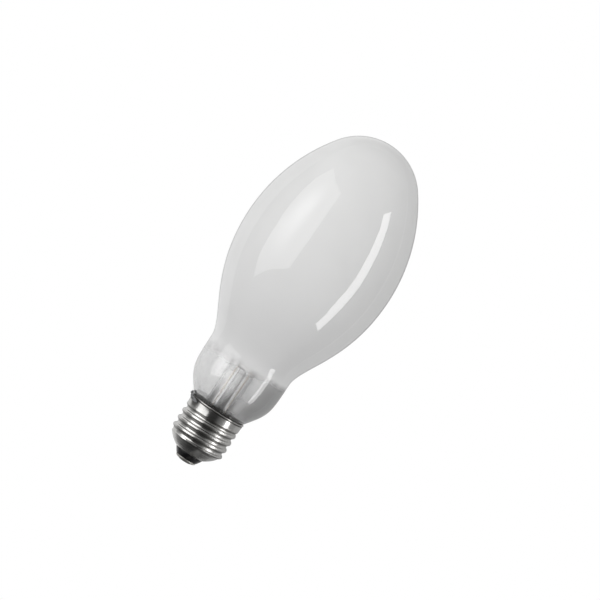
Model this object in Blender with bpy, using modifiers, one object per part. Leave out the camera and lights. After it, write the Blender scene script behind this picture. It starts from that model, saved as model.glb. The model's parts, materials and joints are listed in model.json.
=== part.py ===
"""High pressure sodium lamp: a coated egg-shaped bulb on an Edison screw cap.

Lengths are in metres. The lamp stands cap down on its centre contact, with its axis on +Z and the
lowest point of the contact at the origin. Heights are stacked from the contact up: insulator, cap,
neck, shoulder and crown. The inner parts take their places from the glass and the cap that carry them.
"""
import math

import bmesh
import bpy
from mathutils import Vector

OBJECT_NAME = "sodium_lamp"

# Gap between pieces that touch, or that are fused, soldered or welded together
FIT = 0.0002

# Centre contact and its solder
SOLDER_HEIGHT = 0.0005
SOLDER_RADIUS = 0.0030
SOLDER_FLAT_RADIUS = 0.0014
CONTACT_RADIUS = 0.0049
CONTACT_THICKNESS = 0.0011
CONTACT_ROUND_HEIGHT = 0.0009
CONTACT_ROUND_WIDTH = 0.0015
EYELET_BORE = 0.0009
EYELET_WALL = 0.0004
EYELET_HEIGHT = 0.0012

# Black glass insulator, below the shell and inside it
INSULATOR_FOOT_RADIUS = 0.0052
INSULATOR_HEIGHT = 0.0026
INSULATOR_DEPTH = 0.0033

# Cap shell, a deep-drawn cup with a rolled Edison thread
SHEET = 0.0003
LIP_RADIUS = 0.0069
SHOULDER_HEIGHT = 0.0055
THREAD_RADIUS = 0.01312
THREAD_DEPTH = 0.001095
THREAD_PITCH = 0.003629
THREAD_LENGTH = 0.0134
THREAD_FADE = 0.0018
CREST_LIFT = 0.00003  # height of a crest above the first full row, on the +X side
BAND_HEIGHT = 0.0038
BAND_INSET = 0.00019
RIM_FLARE = 0.0003

# Outer bulb, with its neck drawn in inside the cap
BULB_WALL = 0.0009
RIM_GAP = 0.00048
RIM_SLOPE = 0.75  # widening of the glass for each unit of height where it leaves the cap
CEMENT_GAP = 0.00132
SEAL_DEPTH = 0.0139
NECK_RISE = 0.02266
NECK_RADIUS = 0.0201
NECK_LENGTH = 0.0030
SHOULDER_LENGTH = 0.05418
BULB_RADIUS = 0.03633
CROWN_LENGTH = 0.05744
CROWN_RADIUS = 0.02584

# Cement between the neck and the cap
CEMENT_RISE = 0.0022
CEMENT_HEIGHT = 0.0062

# Stem: flared tube, pinched flat round the leads
STEM_RADIUS = 0.00625
STEM_WALL = 0.0011
FLARE_HEIGHT = 0.0110
TUBE_LENGTH = 0.0225
PINCH_LENGTH = 0.0040
PRESS_LENGTH = 0.0080
PRESS_HALF_WIDTH = 0.0074
PRESS_HALF_THICKNESS = 0.0023
PRESS_EDGE = 0.0006
EXHAUST_RADIUS = 0.0020
EXHAUST_WALL = 0.0006
EXHAUST_SEAT = 0.0008  # how far it runs up into the closed end of the stem
EXHAUST_TAIL = 0.0036  # room under its sealed tip, down to the insulator

# Lead wires
LEAD_RADIUS = 0.0003
LEAD_GAP = 0.0009
LEAD_TAIL = 0.0060
LEAD_BEND = 0.0012
SIDE_LEAD_ANGLE = math.radians(210)

# Solder lump over the notch in the rim where the side lead comes out
NOTCH_DEPTH = 0.0022
LUMP_LENGTH = 0.0058
LUMP_HEIGHT = 0.0036
LUMP_DEPTH = 0.0024
LUMP_DROP = 0.0007

# Mount frame
POST_RADIUS = 0.00075
POST_RISE = 0.0008
FRAME_OFFSET = 0.0130
FRAME_JOG = 0.0050
FRAME_BEND = 0.0030
CROWN_GAP = 0.0125
STRIP = 0.0003
STRAP_WIDTH = 0.0030
STRAP_TAIL = 0.0010
STRAP_WRAP = math.radians(310)
BOW_DEPTH = 0.0030
SPRING_WIDTH = 0.0040
SPRING_FLAT = 0.0040
SPRING_BEND = 0.0016
SPRING_TOUCH = 0.0149  # from the axis out to where each arm meets the glass
SPRING_REACH = 0.0190  # and on to its end

# Arc tube, with its middle at the height where the bulb is widest
ARC_LENGTH = 0.0540
ARC_RADIUS = 0.0036
ARC_WALL = 0.0008
PLUG_LENGTH = 0.0030
FEED_RADIUS = 0.0015
FEED_WALL = 0.0004
FEED_OUTSIDE = 0.0070
FEED_INSIDE = 0.0010
SEAL_RING_RADIUS = 0.0026
SEAL_RING_HEIGHT = 0.0007
SEAL_RING_TOP = 0.0021
ELECTRODE_ROD = 0.00035
ELECTRODE_COIL = 0.0011
ELECTRODE_LENGTH = 0.0060
COIL_LENGTH = 0.0027
COIL_DROP = 0.0021
STRAP_STAND = 0.0038

# Getter rings
GETTER_RADIUS = 0.0040
GETTER_CHANNEL = 0.0014
GETTER_HEIGHT = 0.0012
GETTER_WALL = 0.00035
GETTER_RISE = 0.0125

# Handles of the free curves, as shares of the length or width that each curve spans
SHOULDER_CURVE = (0.579, 0.179)
NECK_CURVE = (0.547, 0.412)
DRAWN_STRAIGHT = 0.31
DRAWN_CURVE = (0.24, 0.46)
BASE_CURVE_OUT = (0.78, 0.44)
BASE_CURVE_UP = (0.57, 0.26)
CONTACT_CURVE = 0.45
FLARE_CURVE = (0.45, 0.40)

# Closed end of the bore in the stem: half width, half thickness, and height as a share of the pinch
BORE_END = ((0.55, 0.45, 0.35), (0.92, 0.85, 0.20), (1.0, 1.0, -0.10))

# Fineness of the round forms
ROUND = 28
MIDDLE_ROUND = 20
SMALL_ROUND = 12
ROWS_PER_TURN = 6

# Heights, from the contact up
CONTACT_TOP = SOLDER_HEIGHT + CONTACT_THICKNESS
INSULATOR_FOOT = CONTACT_TOP + FIT
LIP = INSULATOR_FOOT + INSULATOR_HEIGHT
INSULATOR_TOP = LIP + INSULATOR_DEPTH
THREAD_BOTTOM = LIP + SHOULDER_HEIGHT
THREAD_TOP = THREAD_BOTTOM + THREAD_LENGTH
RIM = THREAD_TOP + BAND_HEIGHT
SEAL = RIM - SEAL_DEPTH
NECK_BOTTOM = RIM + NECK_RISE
NECK_TOP = NECK_BOTTOM + NECK_LENGTH
WIDEST = NECK_TOP + SHOULDER_LENGTH
TIP = WIDEST + CROWN_LENGTH
PINCH = SEAL + FLARE_HEIGHT + TUBE_LENGTH
PRESS = PINCH + PINCH_LENGTH
PRESS_TOP = PRESS + PRESS_LENGTH
BAR = TIP - BULB_WALL - CROWN_GAP

# Radii and offsets that follow from the sizes above
THREAD_MEAN = THREAD_RADIUS - THREAD_DEPTH / 2
BAND_RADIUS = THREAD_RADIUS - BAND_INSET
RIM_RADIUS = BAND_RADIUS + RIM_FLARE
RIM_GLASS = RIM_RADIUS - SHEET - RIM_GAP
SEAL_RADIUS = THREAD_RADIUS - THREAD_DEPTH - SHEET - CEMENT_GAP
FLARE_RADIUS = SEAL_RADIUS - BULB_WALL - FIT
LEAD_OFFSET = EXHAUST_RADIUS + LEAD_GAP + LEAD_RADIUS
POST_OFFSET = LEAD_OFFSET + LEAD_RADIUS + POST_RADIUS + FIT
LOOP_RADIUS = FEED_RADIUS + FIT + STRIP / 2
POST_BACK = LOOP_RADIUS - STRIP / 2 - FIT - POST_RADIUS


def bezier(start, near_start, near_end, end, steps):
    """Points of a cubic curve through start and end, both included."""
    points = []
    for i in range(steps + 1):
        t = i / steps
        weights = ((1 - t) ** 3, 3 * t * (1 - t) ** 2, 3 * t * t * (1 - t), t ** 3)
        controls = (start, near_start, near_end, end)
        points.append(tuple(sum(w * c[k] for w, c in zip(weights, controls)) for k in (0, 1)))
    return points


def smooth(share):
    """Eased step from 0 to 1."""
    share = min(max(share, 0.0), 1.0)
    return share * share * (3 - 2 * share)


def normals(line):
    """Unit normals on the right-hand side of an open line of points, one for each point."""
    result = []
    for i in range(len(line)):
        before, after = line[max(i - 1, 0)], line[min(i + 1, len(line) - 1)]
        along = Vector((after[0] - before[0], after[1] - before[1])).normalized()
        result.append((along.y, -along.x))
    return result


def offset(line, distance):
    """A copy of an open line moved sideways; a line that runs down moves outwards where distance is negative."""
    return [(p[0] + n[0] * distance, p[1] + n[1] * distance) for p, n in zip(line, normals(line))]


def radius_at(line, height):
    """Radius of a turned outline, given from its top down, at one height."""
    for upper, lower in zip(line, line[1:]):
        if lower[1] <= height <= upper[1]:
            share = (height - lower[1]) / max(upper[1] - lower[1], 1e-9)
            return lower[0] + share * (upper[0] - lower[0])
    return line[0][0] if height > line[0][1] else line[-1][0]


def height_at(line, radius):
    """Height of a crown outline, given from its top down, at one radius."""
    for upper, lower in zip(line, line[1:]):
        if upper[0] <= radius <= lower[0]:
            share = (radius - upper[0]) / max(lower[0] - upper[0], 1e-9)
            return upper[1] + share * (lower[1] - upper[1])
    return line[-1][1]


def spaced(first, last, count):
    """Evenly spaced values, both ends included."""
    return [first + (last - first) * i / (count - 1) for i in range(count)]


# Outlines of the glass and of the cap, from the top down, as pairs of radius and height

def crown_outline():
    """Round crown and the flatter arc that leads from it, tangent to both, to the widest ring."""
    rise = CROWN_LENGTH - CROWN_RADIUS
    side_radius = (BULB_RADIUS ** 2 + rise ** 2 - CROWN_RADIUS ** 2) / (2 * (BULB_RADIUS - CROWN_RADIUS))
    join = math.asin(rise / (side_radius - CROWN_RADIUS))
    points = []
    for angle in spaced(math.pi / 2, join, 5):
        points.append((CROWN_RADIUS * math.cos(angle), WIDEST + rise + CROWN_RADIUS * math.sin(angle)))
    points[0] = (0.0, TIP)
    for angle in spaced(join, 0, 6)[1:]:
        radius = BULB_RADIUS - side_radius + side_radius * math.cos(angle)
        points.append((radius, WIDEST + side_radius * math.sin(angle)))
    return points


def shoulder_outline():
    """From the widest ring in to the neck."""
    upper_handle = (BULB_RADIUS, WIDEST - SHOULDER_CURVE[0] * SHOULDER_LENGTH)
    lower_handle = (NECK_RADIUS, NECK_TOP + SHOULDER_CURVE[1] * SHOULDER_LENGTH)
    return bezier((BULB_RADIUS, WIDEST), upper_handle, lower_handle, (NECK_RADIUS, NECK_TOP), 8)


def neck_outline():
    """From the neck in to the rim of the cap, and on to the sealed end inside the cap."""
    rim = (RIM_GLASS, RIM)
    leaving = NECK_RISE * NECK_CURVE[1]
    upper = bezier((NECK_RADIUS, NECK_BOTTOM), (NECK_RADIUS, NECK_BOTTOM - NECK_CURVE[0] * NECK_RISE),
                   (rim[0] + RIM_SLOPE * leaving, RIM + leaving), rim, 6)
    straight = SEAL_DEPTH * DRAWN_STRAIGHT
    drawn = SEAL_DEPTH - straight
    entering = drawn * DRAWN_CURVE[0]
    lower = bezier(rim, (rim[0] - RIM_SLOPE * entering, RIM - entering),
                   (SEAL_RADIUS, SEAL + straight + DRAWN_CURVE[1] * drawn), (SEAL_RADIUS, SEAL + straight), 3)
    return upper + lower[1:] + [(SEAL_RADIUS, SEAL)]


def glass_outline():
    return crown_outline() + shoulder_outline()[1:] + neck_outline()


def base_outline():
    """Shoulder of the cap shell, from the first full thread in to the lip."""
    across = THREAD_MEAN - LIP_RADIUS
    handles = [(LIP_RADIUS + out * across, LIP + up * SHOULDER_HEIGHT)
               for out, up in zip(BASE_CURVE_OUT, BASE_CURVE_UP)]
    return bezier((THREAD_MEAN, THREAD_BOTTOM), *handles, (LIP_RADIUS, LIP), 7)


def plain_radius(height):
    """Radius of the cap shell without its thread."""
    if height < THREAD_BOTTOM:
        return radius_at(base_outline(), height)
    into_band = smooth((height - THREAD_TOP + THREAD_FADE) / THREAD_FADE)
    flare = max((height - THREAD_TOP) / BAND_HEIGHT, 0.0) ** 2
    return THREAD_MEAN + (BAND_RADIUS - THREAD_MEAN) * into_band + RIM_FLARE * flare


def thread_weight(height):
    """Share of the full thread depth: none on the shoulder and on the band, all of it between."""
    into = smooth((height - THREAD_BOTTOM + THREAD_FADE) / THREAD_FADE)
    out = smooth((THREAD_TOP - height) / THREAD_FADE)
    return into * out


def thread_wave(turns):
    """Offset of the thread from its mean radius: crest and root are equal arcs that meet a quarter turn apart."""
    quarter = THREAD_PITCH / 4
    half_depth = THREAD_DEPTH / 2
    arc = (quarter ** 2 + half_depth ** 2) / (2 * half_depth)
    from_crest = abs((turns + 0.5) % 1.0 - 0.5) * THREAD_PITCH
    if from_crest <= quarter:
        return half_depth - arc + math.sqrt(arc ** 2 - from_crest ** 2)
    from_root = THREAD_PITCH / 2 - from_crest
    return arc - half_depth - math.sqrt(arc ** 2 - from_root ** 2)


def shell_radius(angle, height):
    """Outer radius of the cap shell with its right-hand thread."""
    turns = (height - THREAD_BOTTOM - CREST_LIFT) / THREAD_PITCH - angle / math.tau
    return plain_radius(height) + thread_weight(height) * thread_wave(turns)


def shell_bore(height):
    """Smallest inner radius of the cap shell at one height."""
    return plain_radius(height) - thread_weight(height) * THREAD_DEPTH / 2 - SHEET


# Building blocks

def material(name, color, roughness, metallic=0.0, transmission=0.0):
    """A Principled material, made once for each name."""
    made = bpy.data.materials.get(name)
    if made is None:
        made = bpy.data.materials.new(name)
        made.use_nodes = True
        made.diffuse_color = (*color, 1.0)
        shader = made.node_tree.nodes["Principled BSDF"]
        shader.inputs["Base Color"].default_value = (*color, 1.0)
        shader.inputs["Roughness"].default_value = roughness
        shader.inputs["Metallic"].default_value = metallic
        shader.inputs["Transmission Weight"].default_value = transmission
    return made


def place(name, data, finish, group, location=(0, 0, 0), turn=(0, 0, 0)):
    """Put mesh or curve data in a collection as a named object with its finish."""
    made = bpy.data.objects.new(name, data)
    made.location = location
    made.rotation_euler = turn
    if finish is not None:
        data.materials.append(finish)
    group.objects.link(made)
    return made


def soften(mesh, degrees=35):
    """Smooth shading, with the edges that really turn kept sharp."""
    mesh.shade_smooth()
    mesh.set_sharp_from_angle(angle=math.radians(degrees))


def turned(name, line, finish, group, steps=ROUND, closed=True, wall=0.0, **where):
    """A turned piece: an outline that runs down its outer side, spun round Z.

    A closed outline makes a ring or a hollow piece. An open one ends on the axis, or is a sheet that gets
    a wall inwards.
    """
    mesh = bpy.data.meshes.new(name)
    edges = [(i, i + 1) for i in range(len(line) - 1)]
    if closed:
        edges.append((len(line) - 1, 0))
    mesh.from_pydata([(radius, 0, height) for radius, height in line], edges, [])
    made = place(name, mesh, finish, group, **where)
    spin = made.modifiers.new("spin", "SCREW")
    spin.axis = "Z"
    spin.steps = steps
    spin.render_steps = steps
    spin.use_merge_vertices = True
    spin.merge_threshold = 0.00001
    spin.use_smooth_shade = True
    if wall:
        sheet = made.modifiers.new("wall", "SOLIDIFY")
        sheet.thickness = wall
        sheet.offset = -1
        sheet.use_even_offset = True
    return made


def loft(name, rings, finish, group, capped=True, **where):
    """Skin over rings of points with equal counts; the first and last ring are capped on request."""
    mesh = bpy.data.meshes.new(name)
    form = bmesh.new()
    rows = [[form.verts.new(point) for point in ring] for ring in rings]
    for lower, upper in zip(rows, rows[1:]):
        for i in range(len(lower)):
            j = (i + 1) % len(lower)
            form.faces.new((lower[i], lower[j], upper[j], upper[i]))
    if capped:
        form.faces.new(tuple(reversed(rows[0])))
        form.faces.new(rows[-1])
        bmesh.ops.recalc_face_normals(form, faces=form.faces)
    form.to_mesh(mesh)
    form.free()
    soften(mesh)
    return place(name, mesh, finish, group, **where)


def rounded(route, bend_radius, steps=2):
    """A route of straight runs with its corners turned into short arcs."""
    points = [Vector(route[0])]
    for before, corner, after in zip(route, route[1:], route[2:]):
        before, corner, after = Vector(before), Vector(corner), Vector(after)
        run_in, run_out = before - corner, after - corner
        reach = min(bend_radius, 0.45 * run_in.length, 0.45 * run_out.length)
        start = corner + run_in.normalized() * reach
        end = corner + run_out.normalized() * reach
        for i in range(steps + 1):
            t = i / steps
            points.append(start * (1 - t) ** 2 + corner * 2 * t * (1 - t) + end * t * t)
    points.append(Vector(route[-1]))
    return points


def wire(name, points, radius, finish, group):
    """A round wire along a route of points."""
    curve = bpy.data.curves.new(name, "CURVE")
    curve.dimensions = "3D"
    curve.bevel_depth = radius
    curve.bevel_resolution = 2
    curve.use_fill_caps = True
    spline = curve.splines.new("POLY")
    spline.points.add(len(points) - 1)
    for knot, point in zip(spline.points, points):
        knot.co = (point[0], point[1], point[2], 1.0)
    return place(name, curve, finish, group)


def ribbon(name, line, width, finish, group, **where):
    """A bent strip: a centre line in the local XY plane, with the sheet's thickness, and a width along local Z."""
    outline = offset(line, STRIP / 2) + list(reversed(offset(line, -STRIP / 2)))
    curve = bpy.data.curves.new(name, "CURVE")
    curve.dimensions = "2D"
    curve.fill_mode = "BOTH"
    curve.extrude = width / 2
    spline = curve.splines.new("POLY")
    spline.points.add(len(outline) - 1)
    for knot, point in zip(spline.points, outline):
        knot.co = (point[0], point[1], 0, 1)
    spline.use_cyclic_u = True
    return place(name, curve, finish, group, **where)


def cut(piece, cutter):
    """Take a cutter's volume out of a piece."""
    cutter.hide_render = True
    cutter.display_type = "WIRE"
    change = piece.modifiers.new(cutter.name, "BOOLEAN")
    change.operation = "DIFFERENCE"
    change.solver = "EXACT"
    change.object = cutter


# Cap

def build_contact(group):
    """Eyelet plate under the insulator, and the solder that closes it."""
    metal = material("contact_metal", (0.62, 0.6, 0.56), 0.32, 1.0)
    solder = material("solder", (0.6, 0.6, 0.61), 0.38, 1.0)
    eyelet = EYELET_BORE + EYELET_WALL
    under = CONTACT_RADIUS - CONTACT_ROUND_WIDTH
    edge = bezier((CONTACT_RADIUS, SOLDER_HEIGHT + CONTACT_ROUND_HEIGHT),
                  (CONTACT_RADIUS, SOLDER_HEIGHT + CONTACT_CURVE * CONTACT_ROUND_HEIGHT),
                  (under + CONTACT_CURVE * CONTACT_ROUND_WIDTH, SOLDER_HEIGHT), (under, SOLDER_HEIGHT), 3)
    turned("centre_contact", [
        (eyelet, CONTACT_TOP + EYELET_HEIGHT), (eyelet, CONTACT_TOP), (CONTACT_RADIUS, CONTACT_TOP), *edge,
        (EYELET_BORE, SOLDER_HEIGHT), (EYELET_BORE, CONTACT_TOP + EYELET_HEIGHT)], metal, group, steps=MIDDLE_ROUND)
    plug = EYELET_BORE - FIT
    seat = SOLDER_HEIGHT - FIT
    dome = bezier((SOLDER_RADIUS, seat), (SOLDER_RADIUS - 0.2 * seat, 0.4 * seat),
                  (SOLDER_FLAT_RADIUS + seat, 0.0), (SOLDER_FLAT_RADIUS, 0.0), 4)
    turned("centre_solder", [(0.0, CONTACT_TOP), (plug, CONTACT_TOP), (plug, seat)] + dome + [(0.0, 0.0)],
           solder, group, steps=SMALL_ROUND, closed=False)


def build_insulator(group):
    """Black glass, moulded round the lip of the shell and into its shoulder."""
    black = material("insulator_glass", (0.012, 0.012, 0.013), 0.18)
    bore = EYELET_BORE + EYELET_WALL + FIT
    inside = [p for p in offset(base_outline(), SHEET + FIT) if LIP + 2 * SHEET < p[1] < INSULATOR_TOP]
    top_radius = radius_at(offset(base_outline(), SHEET + FIT), INSULATOR_TOP)
    waist = LIP_RADIUS - FIT - SHEET
    above_lip = LIP + SHEET + FIT
    skirt = LIP - FIT
    turned("cap_insulator", [
        (bore, INSULATOR_TOP), (top_radius, INSULATOR_TOP), *inside, (waist, above_lip), (waist, skirt),
        (LIP_RADIUS - SHEET, skirt - FIT), (INSULATOR_FOOT_RADIUS, INSULATOR_FOOT), (bore, INSULATOR_FOOT)],
        black, group, steps=MIDDLE_ROUND)


def side_direction(angle=SIDE_LEAD_ANGLE):
    return Vector((math.cos(angle), math.sin(angle), 0))


def lead_slot(name, inner, outer, bottom, top, cutters):
    """Cutter for a slot that lets the side lead pass, between two radii and two heights."""
    form = bmesh.new()
    bmesh.ops.create_cube(form, size=1.0)
    wide = 2 * (LEAD_RADIUS + FIT)
    bmesh.ops.scale(form, verts=form.verts, vec=(outer - inner, wide, top - bottom))
    mesh = bpy.data.meshes.new(name)
    form.to_mesh(mesh)
    form.free()
    middle = side_direction() * (inner + outer) / 2
    middle.z = (bottom + top) / 2
    return place(name, mesh, None, cutters, location=middle, turn=(0, 0, SIDE_LEAD_ANGLE))


def build_shell(group, cutters):
    """Cap shell: rings of points on the threaded surface, then the sheet's thickness inwards."""
    nickel = material("nickel_plate", (0.66, 0.65, 0.63), 0.22, 1.0)
    rows = round(THREAD_LENGTH / THREAD_PITCH * ROWS_PER_TURN)
    heights = [height for _, height in reversed(base_outline())]
    heights += spaced(THREAD_BOTTOM, THREAD_TOP, rows + 1)[1:]
    heights += spaced(THREAD_TOP, RIM, 3)[1:]
    rings = []
    for height in heights:
        ring = []
        for angle in spaced(0, math.tau, ROUND + 1)[:-1]:
            radius = shell_radius(angle, height)
            ring.append((radius * math.cos(angle), radius * math.sin(angle), height))
        rings.append(ring)
    made = loft("cap_shell", rings, nickel, group, capped=False)
    sheet = made.modifiers.new("sheet", "SOLIDIFY")
    sheet.thickness = SHEET
    sheet.offset = -1
    sheet.use_even_offset = True
    cut(made, lead_slot("rim_notch", RIM_GLASS, RIM_RADIUS + SHEET, RIM - NOTCH_DEPTH, RIM + SHEET, cutters))


def build_cement(group, cutters):
    """Ring of cement round the neck, open where the side lead passes."""
    grey = material("cement", (0.16, 0.14, 0.12), 0.9)
    heights = spaced(SEAL + CEMENT_RISE + CEMENT_HEIGHT, SEAL + CEMENT_RISE, 5)
    root = THREAD_RADIUS - THREAD_DEPTH - SHEET - FIT
    outer = [(root, heights[0]), (root, heights[-1])]
    inner = [(radius_at(neck_outline(), height) + FIT, height) for height in reversed(heights)]
    ring = turned("cap_cement", outer + inner, grey, group, steps=MIDDLE_ROUND)
    bottom, top = SEAL + CEMENT_RISE, SEAL + CEMENT_RISE + CEMENT_HEIGHT
    cut(ring, lead_slot("cement_slot", STEM_RADIUS, RIM_RADIUS, bottom - FIT, top + FIT, cutters))


def build_side_solder(group, cutters):
    """Solder lump that sits over the rim, on the end of the side lead in its notch."""
    solder = material("solder", (0.6, 0.6, 0.61), 0.38, 1.0)
    form = bmesh.new()
    bmesh.ops.create_uvsphere(form, u_segments=SMALL_ROUND, v_segments=10, radius=0.5)
    bmesh.ops.scale(form, verts=form.verts, vec=(LUMP_DEPTH, LUMP_LENGTH, LUMP_HEIGHT))
    mesh = bpy.data.meshes.new("side_solder")
    form.to_mesh(mesh)
    form.free()
    soften(mesh)
    middle = side_direction() * RIM_RADIUS
    middle.z = RIM - LUMP_DROP
    lump = place("side_solder", mesh, solder, group, location=middle, turn=(0, 0, SIDE_LEAD_ANGLE))
    heights = spaced(RIM + FIT, RIM - LUMP_DROP - LUMP_HEIGHT, 7)
    shell = [(plain_radius(min(height, RIM)) + FIT, height) for height in heights]
    solid = [(0.0, shell[0][1])] + shell + [(0.0, shell[-1][1])]
    cut(lump, turned("rim_clearance", solid, None, cutters, closed=False))
    around = [p for p in neck_outline() if abs(p[1] - RIM) < 2 * LUMP_HEIGHT]
    glass = offset(around, -FIT)
    solid = [(0.0, glass[0][1])] + glass + [(0.0, glass[-1][1])]
    cut(lump, turned("glass_clearance", solid, None, cutters, closed=False))


# Glass

def build_bulb(group):
    """Blown envelope, one sheet of glass from the crown to the sealed end."""
    glass = material("coated_glass", (0.9, 0.9, 0.89), 0.06, 0.0, 0.4)
    turned("outer_bulb", glass_outline(), glass, group, closed=False, wall=BULB_WALL)


def stem_ring(half_width, half_thickness, height, flatness):
    """Ring that goes from a circle to a rounded bar as flatness goes from 0 to 1."""
    power = 1 - 0.45 * flatness
    ring = []
    for angle in spaced(0, math.tau, MIDDLE_ROUND + 1)[:-1]:
        x, y = math.cos(angle), math.sin(angle)
        ring.append((half_width * math.copysign(abs(x) ** power, x),
                     half_thickness * math.copysign(abs(y) ** power, y), height))
    return ring


def build_stem(group, cutters):
    """Flared tube whose top is pinched into a flat press round the two leads."""
    clear = material("clear_glass", (0.86, 0.88, 0.88), 0.03, 0.0, 1.0)
    flare = bezier((STEM_RADIUS, SEAL + FLARE_HEIGHT), (STEM_RADIUS, SEAL + FLARE_CURVE[0] * FLARE_HEIGHT),
                   (FLARE_RADIUS, SEAL + FLARE_CURVE[1] * FLARE_HEIGHT), (FLARE_RADIUS, SEAL), 5)
    inner_flare = offset(flare, STEM_WALL)
    inner_flare[-1] = (inner_flare[-1][0], SEAL)
    bore = STEM_RADIUS - STEM_WALL
    rings = [stem_ring(bore * wide, bore * thick, PINCH + rise * PINCH_LENGTH, 0) for wide, thick, rise in BORE_END]
    rings += [stem_ring(radius, radius, height, 0) for radius, height in inner_flare]
    rings += [stem_ring(radius, radius, height, 0) for radius, height in reversed(flare)]
    for share in spaced(0, 1, 5):
        flat = smooth(share)
        rings.append(stem_ring(STEM_RADIUS + (PRESS_HALF_WIDTH - STEM_RADIUS) * flat,
                               STEM_RADIUS + (PRESS_HALF_THICKNESS - STEM_RADIUS) * flat,
                               PINCH + PINCH_LENGTH * share, flat))
    rings.append(stem_ring(PRESS_HALF_WIDTH, PRESS_HALF_THICKNESS, PRESS_TOP - PRESS_EDGE, 1))
    rings.append(stem_ring(PRESS_HALF_WIDTH - PRESS_EDGE, PRESS_HALF_THICKNESS - PRESS_EDGE, PRESS_TOP, 1))
    stem = loft("stem", rings, clear, group)
    reach = PRESS_TOP - PINCH + FIT
    for side, name in ((1, "centre_lead_hole"), (-1, "side_lead_hole")):
        radius = LEAD_RADIUS + FIT
        line = [(0.0, reach), (radius, reach), (radius, 0.0), (0.0, 0.0)]
        cut(stem, turned(name, line, None, cutters, steps=10, closed=False,
                         location=(side * LEAD_OFFSET, 0, PINCH)))


def build_exhaust_tube(group):
    """Thin tube inside the stem, drawn off to a closed tip inside the cap."""
    clear = material("clear_glass", (0.86, 0.88, 0.88), 0.03, 0.0, 1.0)
    tip = INSULATOR_TOP + EXHAUST_TAIL
    top = PINCH + EXHAUST_SEAT
    bore = EXHAUST_RADIUS - EXHAUST_WALL
    outer = [(EXHAUST_RADIUS, top)]
    outer += bezier((EXHAUST_RADIUS, tip + 2 * EXHAUST_RADIUS), (EXHAUST_RADIUS, tip + EXHAUST_RADIUS),
                    (0.6 * EXHAUST_RADIUS, tip + 0.3 * EXHAUST_RADIUS), (0.0, tip), 4)
    inner = bezier((0.0, tip + 2 * EXHAUST_WALL), (0.6 * bore, tip + EXHAUST_RADIUS),
                   (bore, tip + 1.4 * EXHAUST_RADIUS), (bore, tip + 2 * EXHAUST_RADIUS), 3)
    turned("exhaust_tube", outer + inner + [(bore, top)], clear, group, steps=SMALL_ROUND)


# Leads and mount

def build_leads(group):
    """Centre lead, from the eyelet up through the press, and side lead, from the rim of the cap to the press."""
    copper = material("lead_wire", (0.55, 0.5, 0.45), 0.35, 1.0)
    top = PRESS_TOP + LEAD_TAIL
    turn_height = INSULATOR_TOP + EXHAUST_TAIL - 2 * LEAD_RADIUS
    centre = rounded([
        (0, 0, CONTACT_TOP + FIT), (0, 0, INSULATOR_TOP + 2 * LEAD_RADIUS),
        (LEAD_OFFSET, 0, turn_height), (LEAD_OFFSET, 0, top)], LEAD_BEND)
    wire("centre_lead", centre, LEAD_RADIUS, copper, group)

    def beside_neck(height):
        glass = radius_at(neck_outline(), height)
        radius = (glass + min(shell_bore(height), shell_bore(RIM))) / 2
        return side_direction() * radius + Vector((0, 0, height))

    under = SEAL - 2 * LEAD_RADIUS - FIT
    corner = beside_neck(SEAL)
    corner.z = under
    end = side_direction() * (RIM_RADIUS - SHEET)
    end.z = RIM - NOTCH_DEPTH + 2 * LEAD_RADIUS + 2 * FIT
    side = [(-LEAD_OFFSET, 0, top), (-LEAD_OFFSET, 0, under), corner]
    side += [beside_neck(height) for height in spaced(SEAL + 4 * LEAD_RADIUS, end.z - 3 * LEAD_RADIUS, 6)]
    side.append(end)
    wire("side_lead", rounded(side, LEAD_BEND), LEAD_RADIUS, copper, group)


def build_frame(group):
    """Short post and long frame rod, each welded beside its lead above the press."""
    steel = material("frame_wire", (0.5, 0.5, 0.5), 0.3, 1.0)
    foot = PRESS_TOP + POST_RISE
    strap_top = strap_height(-1) + STRAP_WIDTH / 2 + STRAP_TAIL
    wire("short_post", [(POST_OFFSET, POST_BACK, foot), (POST_OFFSET, POST_BACK, strap_top)], POST_RADIUS, steel,
         group)
    jog = foot + FRAME_JOG
    wire("frame_rod", rounded([
        (-POST_OFFSET, 0, foot), (-POST_OFFSET, 0, jog - FRAME_JOG / 2), (-FRAME_OFFSET, 0, jog),
        (-FRAME_OFFSET, 0, BAR), (SPRING_FLAT, 0, BAR)], FRAME_BEND, 4), POST_RADIUS, steel, group)


def build_spring(group):
    """Leaf spring on the bar of the frame, with both ends bent down along the inside of the crown."""
    steel = material("spring_strip", (0.52, 0.52, 0.52), 0.28, 1.0)
    edges_out = (SPRING_WIDTH / 2) ** 2 / (2 * SPRING_TOUCH)
    inside = offset(crown_outline(), BULB_WALL + FIT + edges_out + STRIP / 2)
    seat = BAR + POST_RADIUS + FIT + STRIP / 2
    arm = [(SPRING_FLAT, 0, seat)]
    arm += [(radius, 0, height_at(inside, radius)) for radius in (SPRING_TOUCH, SPRING_REACH)]
    mirrored = [(-x, y, z) for x, y, z in reversed(arm)]
    line = [(point.x, point.z) for point in rounded(mirrored + arm, SPRING_BEND)]
    ribbon("dome_spring", line, SPRING_WIDTH, steel, group, turn=(math.pi / 2, 0, 0))


def strap_height(side):
    """Height of the strap on the feedthrough, below the arc tube for side -1 and above it for side 1."""
    return WIDEST + side * (ARC_LENGTH / 2 + STRAP_STAND)


def strap_loop(side):
    """Centre line of a strap's loop round the feedthrough; it ends where the arm leaves along the side's own way."""
    leave = -side * math.pi / 2
    return [(LOOP_RADIUS * math.cos(a), LOOP_RADIUS * math.sin(a)) for a in spaced(leave + STRAP_WRAP, leave, 11)]


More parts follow.
